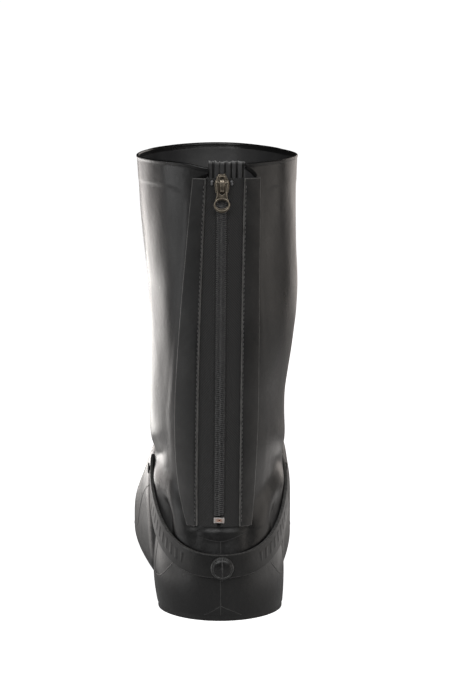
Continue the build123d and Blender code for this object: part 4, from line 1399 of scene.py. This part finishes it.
# ---------------------------------------------------------------- pull tab
pin_up = slider_bottom + 8.2
PIN_OUT = 6.1
RING_R = 6.0
PULL_LENGTH = 22.0
ring_up = pin_up - PULL_LENGTH + RING_R
arm_gap = 1.7 + 0.35


def side_profile():
    """Right outline of the pull from its head down to its ring."""
    head = [
        (3.2, pin_up + 1.5), (4.4, pin_up + 1.2), (4.75, pin_up + 0.1), (4.6, pin_up - 1.2),
        (4.1, pin_up - 3.2), (3.75, pin_up - 6.4), (3.7, pin_up - 8.6), (4.15, pin_up - 11.0),
        (5.1, pin_up - 13.6), (5.85, ring_up + 1.2),
    ]
    angles = np.radians(np.linspace(-5, -90, 14))
    arc = [(RING_R * math.cos(a), ring_up + RING_R * math.sin(a)) for a in angles]
    return head + arc


right = side_profile()
window = [(-arm_gap, pin_up + 2.6), (-arm_gap, pin_up - 6.6)]
for a in np.radians(np.linspace(180, 360, 11)):
    window.append((arm_gap * math.cos(a), pin_up - 6.9 + 2.1 * math.sin(a)))
window += [(arm_gap, pin_up - 6.6), (arm_gap, pin_up + 2.6)]
# the window is open at the head, so the outline goes down one arm and up the other
pull_outline = (
    [(arm_gap, pin_up + 1.5)] + right + [(-a, v) for a, v in right[::-1][1:]]
    + [(-arm_gap, pin_up + 1.5)] + window[1:-1]
)
hole = oval(0, ring_up + 0.1, 4.7, 3.1, 40)
pull = plate("pull_tab_plate", [pull_outline, hole], 1.25, 0.42, zip_point, PIN_OUT - 0.62, 4)
# a raised rim round the flat middle of the tab and round its finger hole
rim_line = np.array(oval(0, ring_up, 5.35, 4.55, 48))
rim_path = zip_point(rim_line[:, 0], rim_line[:, 1], PIN_OUT + 0.45)
add_mesh(pull, mesh_object("pull_rim", *tube(rim_path, 0.42, 8, closed=True, flat=zip_out)))
for side in (-1, 1):
    rail_line = ((4.05, -1.0), (3.7, -4), (3.3, -7.6), (3.6, -10.4), (4.6, -13.0))
    edge_line = dense([(side * a, pin_up + v) for a, v in rail_line], 24)
    rail = zip_point(edge_line[:, 0], edge_line[:, 1], PIN_OUT + 0.42)
    add_mesh(pull, mesh_object(f"pull_rail{side}", *tube(rail, 0.36, 8, flat=zip_out)))
# a plain pattern of short raised bars where a tab is usually marked
for i in range(4):
    one_bar = rounded(0.2, pin_up - 11.6, pin_up - 9.9, 0.15, 3)
    mark_outline = [(a - 1.35 + 0.9 * i, v) for a, v in one_bar]
    add_mesh(pull, plate(f"pull_mark{i}", [mark_outline], 0.5, 0.12, zip_point, PIN_OUT + 0.5, 2))
pin_path = zip_point(np.linspace(-4.3, 4.3, 14), pin_up, PIN_OUT)
add_mesh(pull, mesh_object("pull_pin", *tube(pin_path, 0.68, 10, flat=zip_out)))
mark_edges(pull)
assign(pull, BRASS)
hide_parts("pull_tab")
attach(pull, "pull")

# ---------------------------------------------------------------- heel strap
# middle line from the left end round the heel to the right end
back_angle = np.linspace(math.pi / 2, 0, 230)
y_back = -STRAP_BACK * np.cos(back_angle)
y_front = np.linspace(STRAP_TIP, 0, 60, endpoint=False)
y_half = np.concatenate([y_front, y_back])
x_half = strap_plan(y_half, 0.0)
x_half[-1] = 0
line_y, line_z = np.array(STRAP_LINE).T


def strap_height(y):
    fine = np.linspace(-78, 60, 600)
    rough = np.interp(fine, line_y, line_z)
    rough = np.where(fine < line_y[0], line_z[0], rough)
    kernel = np.exp(-0.5 * (np.arange(-40, 41) / 17.0) ** 2)
    soft = np.convolve(np.pad(rough, 40, mode="edge"), kernel / kernel.sum(), mode="valid")
    return np.interp(y, fine, soft)


left_half = np.stack([-x_half, y_half, strap_height(y_half)], -1)
right_half = np.stack([x_half, y_half, strap_height(y_half)], -1)[::-1][1:]
S_COUNT = 560
middle, s_at = resample(np.concatenate([left_half, right_half]), S_COUNT)
along = np.gradient(middle, axis=0)
flat_along = along.copy()
flat_along[:, 2] = 0
flat_along = unit(flat_along)
strap_normal = np.stack([flat_along[:, 1], -flat_along[:, 0], np.zeros(S_COUNT)], -1)
inward = (strap_normal * np.stack([middle[:, 0], middle[:, 1], np.zeros(S_COUNT)], -1)).sum(1) < 0
strap_normal[inward] *= -1
along = unit(along)
width_dir = np.cross(along, strap_normal)
width_dir = unit(width_dir)
width_dir[width_dir[:, 2] < 0] *= -1
total = s_at[-1]
from_end = np.minimum(s_at, total - s_at)
end_width = np.sqrt(np.clip(1 - (1 - np.clip(from_end / 9.0, 0, 1)) ** 2, 0.0004, 1))

T_COUNT = 44
ROUND_OFF = 0.5
RIB_HEIGHT = 0.3
RIB_SLANT = 0.35
RIB_START = 33
RIB_PITCH = 6.6
tt = edge_steps(T_COUNT, 0.35) * 2 - 1
strap_rows = []
strap_edges = []
centre_s = total / 2
for i in range(S_COUNT):
    half_w = STRAP_WIDTH / 2 * end_width[i]
    t = tt * half_w
    from_edge = half_w - np.abs(t)
    fall = rounding_fall(from_edge, ROUND_OFF)
    s_rel = s_at[i] - centre_s
    # raised slanting ribs, in place of any lettering, on both flanks
    slanted = abs(s_rel) - RIB_SLANT * t
    within = smoothstep(abs(s_rel), 32, 33.5) * (1 - smoothstep(abs(s_rel), 92, 93.5))
    wave = np.cos((slanted - RIB_START) / RIB_PITCH * 2 * math.pi)
    rib = RIB_HEIGHT * smoothstep(wave, 0.15, 0.55) * within * smoothstep(3.9 - np.abs(t - 0.4), 0, 0.5)
    outer_lift = -fall + rib
    # the middle of the band bows out a little under tension
    outer_lift = outer_lift - 0.25 * (np.abs(t) / (STRAP_WIDTH / 2)) ** 2
    pos = middle[i] + width_dir[i] * t[:, None]
    face_out = pos + strap_normal[i] * outer_lift[:, None]
    inner_lift = -STRAP_THICK + fall * 0.6
    face_in = pos + strap_normal[i] * inner_lift[:, None]
    strap_rows.append(np.concatenate([face_out, face_in[::-1]]))
    # painted highlight: the strap is painted lighter within 0.7 mm of its edges
    wear_and_highlight = np.clip(1 - from_edge / 0.7, 0, 1)
    strap_edges.append(np.concatenate([wear_and_highlight, wear_and_highlight[::-1]]))
strap_rows = np.array(strap_rows)
count = strap_rows.shape[1]
strap_faces = grid_faces(S_COUNT, count, True).tolist() + end_quads(S_COUNT, count, T_COUNT)
strap_edge_highlight = {"edge": np.array(strap_edges).ravel()}
strap = mesh_object("strap", strap_rows.reshape(-1, 3), strap_faces, attributes=strap_edge_highlight)
turn_faces_out(strap)


def cutter(name, loop_yz, x_low, x_high):
    """A prism through a band in the x direction, from a closed (y, z) outline."""
    n = len(loop_yz)
    pts = [(x_low, y, z) for y, z in loop_yz] + [(x_high, y, z) for y, z in loop_yz]
    fcs = [[i, (i + 1) % n, n + (i + 1) % n, n + i] for i in range(n)]
    fcs += [list(range(n))[::-1], list(range(n, 2 * n))]
    return mesh_object(name, pts, fcs, smooth=False)


def carve(target, tool):
    modifier = target.modifiers.new("carve", "BOOLEAN")
    modifier.operation = "DIFFERENCE"
    modifier.solver = "EXACT"
    modifier.object = tool
    bpy.context.view_layer.update()
    graph = bpy.context.evaluated_depsgraph_get()
    made = bpy.data.meshes.new_from_object(target.evaluated_get(graph))
    target.modifiers.clear()
    old = target.data
    target.data = made
    bpy.data.meshes.remove(old)
    bpy.data.objects.remove(tool)


SLOT_BACK = 10.5
SLOT_HALF = 12.9
SLOT_RADIUS = 2.1
slot_mid = (SIDE_STUD[0] - SLOT_BACK * math.cos(SLOT_TILT), SIDE_STUD[1] - SLOT_BACK * math.sin(SLOT_TILT))
slot_loop = []
for a in np.radians(np.concatenate([np.linspace(-90, 90, 12), np.linspace(90, 270, 12)])):
    shift = SLOT_HALF if math.cos(a) > -1e-9 and len(slot_loop) < 12 else -SLOT_HALF
    u, v = shift + SLOT_RADIUS * math.cos(a), SLOT_RADIUS * math.sin(a)
    slot_loop.append((slot_mid[0] + u * math.cos(SLOT_TILT) - v * math.sin(SLOT_TILT),
                      slot_mid[1] + u * math.sin(SLOT_TILT) + v * math.cos(SLOT_TILT)))
carve(strap, cutter("slot_cutter", slot_loop, -70, 70))
smooth_by_angle(strap, 40)
assign(strap, STRAP)
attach(strap, "strap")
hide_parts("heel_strap")


# ---------------------------------------------------------------- studs
def lathe(name, profile, centre, axis, seg):
    """A turned piece: profile is (radius, distance along the axis)."""
    axis = np.array(axis, float)
    axis /= np.linalg.norm(axis)
    side_dir = np.cross(axis, (0, 0, 1.0))
    side_dir /= np.linalg.norm(side_dir)
    up_dir = np.cross(side_dir, axis)
    angles = np.linspace(0, 2 * math.pi, seg, endpoint=False)
    rows = []
    spokes = np.cos(angles)[:, None] * side_dir + np.sin(angles)[:, None] * up_dir
    for r, d in profile:
        rows.append(np.array(centre, float) + axis * d + spokes * r)
    made = mesh_object(name, np.array(rows).reshape(-1, 3), rod_faces(len(rows), seg))
    turn_faces_out(made)
    return made


STUD_UP = 41.3
STUD_BACK = -66.6
STUD_PROFILE = (
    (4.0, -1.0), (4.0, 3.6), (7.6, 3.75), (8.2, 4.0), (8.55, 4.5), (8.6, 5.1), (8.35, 5.7), (7.9, 6.15),
    (7.45, 6.35), (7.2, 6.3), (7.0, 6.12), (6.8, 6.12), (6.6, 6.35), (6.2, 6.62), (5.2, 6.95), (4.0, 7.2),
    (2.6, 7.36), (1.2, 7.43), (0.15, 7.45),
)
SIDE_STUD_PROFILE = (
    (1.9, -8.5), (1.9, 0.75), (3.6, 0.8), (4.05, 0.95), (4.2, 1.3), (4.1, 1.7), (3.7, 2.0), (2.8, 2.2),
    (1.6, 2.3), (0.1, 2.32),
)
stud = lathe("stud_head", STUD_PROFILE, (0, STUD_BACK, STUD_UP), (0, -1, 0), 96)
line_t = np.linspace(-8.1, 8.2, 40)
depth = np.interp(np.abs(line_t), (0, 2.6, 5.2, 6.6, 7.0, 7.6, 8.4), (7.44, 7.36, 6.95, 6.35, 6.14, 6.3, 5.2))
seam = np.stack([np.zeros(40), STUD_BACK - depth + 0.12, STUD_UP + line_t], -1)
add_mesh(stud, mesh_object("stud_seam", *tube(seam, 0.36, 8, flat=(1.0, 0.0, 0.0))))
nib = np.array(((0.1, -71.6, 33.2), (0.15, -71.8, 32.4), (0.2, -71.9, 31.7), (0.1, -71.9, 31.2)))
add_mesh(stud, mesh_object("stud_nib", *tube(nib, (0.75, 0.7, 0.5, 0.2), 8, flat=(1.0, 0.0, 0.0))))
co = np.array([v.co for v in stud.data.vertices]) / MM
r = np.hypot(co[:, 0], co[:, 2] - STUD_UP)
rim_share = np.exp(-(((r - 8.3) / 0.5) ** 2)) * 0.6 + np.exp(-(((r - 6.9) / 0.35) ** 2)) * 0.35
rim_share += np.exp(-((co[:, 0] / 0.35) ** 2)) * (co[:, 1] < -73) * 0.6
set_edge(stud, np.clip(rim_share, 0, 1))
smooth_by_angle(stud, 60)
assign(stud, STUD)
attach(stud, "shell")
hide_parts("heel_stud")

strap_side_x = float(strap_plan(np.array(SIDE_STUD[0]), 0.0))
for side in (-1, 1):
    stud_at = (side * strap_side_x, *SIDE_STUD)
    side_stud = lathe(f"{WORD[side]}_stud", SIDE_STUD_PROFILE, stud_at, (side, 0, 0), 48)
    set_edge(side_stud, np.zeros(len(side_stud.data.vertices)))
    smooth_by_angle(side_stud, 60)
    assign(side_stud, STUD)
    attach(side_stud, "shell")
    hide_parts(f"{WORD[side]}_side_stud")

# ---------------------------------------------------------------- stage
FLOOR_SIDE = 2.2
FLOOR_Y = (-0.33, 3)
floor_corners = [
    (-FLOOR_SIDE, FLOOR_Y[0], 0), (FLOOR_SIDE, FLOOR_Y[0], 0),
    (FLOOR_SIDE, FLOOR_Y[1], 0), (-FLOOR_SIDE, FLOOR_Y[1], 0),
]
floor_mesh = bpy.data.meshes.new("floor")
floor_mesh.from_pydata(floor_corners, [], [(0, 1, 2, 3)])
floor = link(bpy.data.objects.new("floor", floor_mesh))
floor_paint = Paint("pale_floor")
speck = floor_paint.noise(3, 2, 0.5)
patches = floor_paint.band(speck, 0.3, 0.7, 0, 1)
floor_colour = floor_paint.mix(patches, (0.90, 0.90, 0.90), (0.93, 0.93, 0.93))
floor_paint.feed(floor_colour, "Base Color")
floor_paint.feed(floor_colour, "Emission Color")
seen = floor_paint.tree.nodes.new("ShaderNodeLightPath").outputs["Is Camera Ray"]
floor_paint.feed(floor_paint.band(seen, 0, 1, 0.0, 1.08), "Emission Strength")
floor_paint.set(Roughness=0.9)
floor.data.materials.append(floor_paint.material)

world = bpy.data.worlds.new("studio")
bpy.context.scene.world = world
world.use_nodes = True
tree = world.node_tree
background = tree.nodes["Background"]
path_node = tree.nodes.new("ShaderNodeLightPath")
white = tree.nodes.new("ShaderNodeBackground")
white.inputs["Color"].default_value = (1, 1, 1, 1)
white.inputs["Strength"].default_value = 1.05
background.inputs["Color"].default_value = (1.0, 0.985, 0.97, 1)
background.inputs["Strength"].default_value = 0.02
mixer = tree.nodes.new("ShaderNodeMixShader")
tree.links.new(path_node.outputs["Is Camera Ray"], mixer.inputs["Fac"])
tree.links.new(background.outputs["Background"], mixer.inputs[1])
tree.links.new(white.outputs["Background"], mixer.inputs[2])
tree.links.new(mixer.outputs["Shader"], tree.nodes["World Output"].inputs["Surface"])


def softbox(name, place, target, size, power, colour):
    """A rectangular lamp at place, turned to target."""
    data = bpy.data.lights.new(name, "AREA")
    data.shape = "RECTANGLE"
    data.size, data.size_y = size
    data.energy = power
    data.color = colour
    lamp = link(bpy.data.objects.new(name, data))
    lamp.location = place
    lamp.rotation_euler = (Vector(target) - Vector(place)).to_track_quat("-Z", "Y").to_euler()


def round_about(azimuth, distance, height):
    """A place at an angle from the camera's side, the left being positive."""
    angle = math.radians(azimuth)
    return (-math.sin(angle) * distance, -math.cos(angle) * distance, height)


WARM = (1.0, 0.97, 0.94)
UP_TO_ROOM = 1.0
PAPER = 0.004
LAMPS = (
    ("key_left", round_about(25, 1.6, 1.05), (0, 0, 0.15), (1.1, 0.9), 12, (1, 1, 1)),
    ("key_right", round_about(-25, 1.6, 1.05), (0, 0, 0.15), (1.1, 0.9), 9.5, (1, 1, 1)),
    ("low_left", round_about(76, 1.5, 0.16), (0, 0, 0.15), (1.2, 0.32), 2.6, (1, 1, 1)),
    ("low_right", round_about(-80, 1.5, 0.2), (0, 0, 0.15), (1.5, 0.42), 2.8, (1.0, 0.93, 0.86)),
    ("wall_right", round_about(-148, 1.7, 0.5), (0, 0, 0.3), (1.2, 1.0), 5, (1.0, 0.92, 0.86)),
    ("wall_left", round_about(139, 1.75, 0.2), (0, 0, 0.2), (1.25, 0.36), 4.5, (1.0, 0.94, 0.91)),
    ("sweep_left", (-0.68, 1.12, PAPER), (-0.68, 1.12, UP_TO_ROOM), (0.9, 1.3), 17, WARM),
    ("paper_left", (-0.36, 0.1, PAPER), (-0.36, 0.1, UP_TO_ROOM), (0.45, 0.5), 0.55, (1.0, 0.97, 0.95)),
    ("paper_right", (0.36, 0.1, PAPER), (0.36, 0.1, UP_TO_ROOM), (0.45, 0.5), 0.5, (1.0, 0.96, 0.93)),
)
for lamp_values in LAMPS:
    softbox(*lamp_values)

# ---------------------------------------------------------------- camera
LENS = 139.06
PITCH = math.radians(8.1)
HEADING = (0.0401, 0.9992)
CAMERA_AT = (-0.0706, -2.0208, 0.4815)
camera_data = bpy.data.cameras.new("camera")
camera_data.sensor_fit = "VERTICAL"
camera_data.sensor_height = 36.0
camera_data.lens = LENS
camera_data.clip_end = 50
camera = link(bpy.data.objects.new("camera", camera_data))
look = Vector((HEADING[0] * math.cos(PITCH), HEADING[1] * math.cos(PITCH), -math.sin(PITCH)))
camera.location = CAMERA_AT
camera.rotation_euler = look.to_track_quat("-Z", "Y").to_euler()
bpy.context.scene.camera = camera
bpy.context.scene.view_settings.view_transform = "Standard"
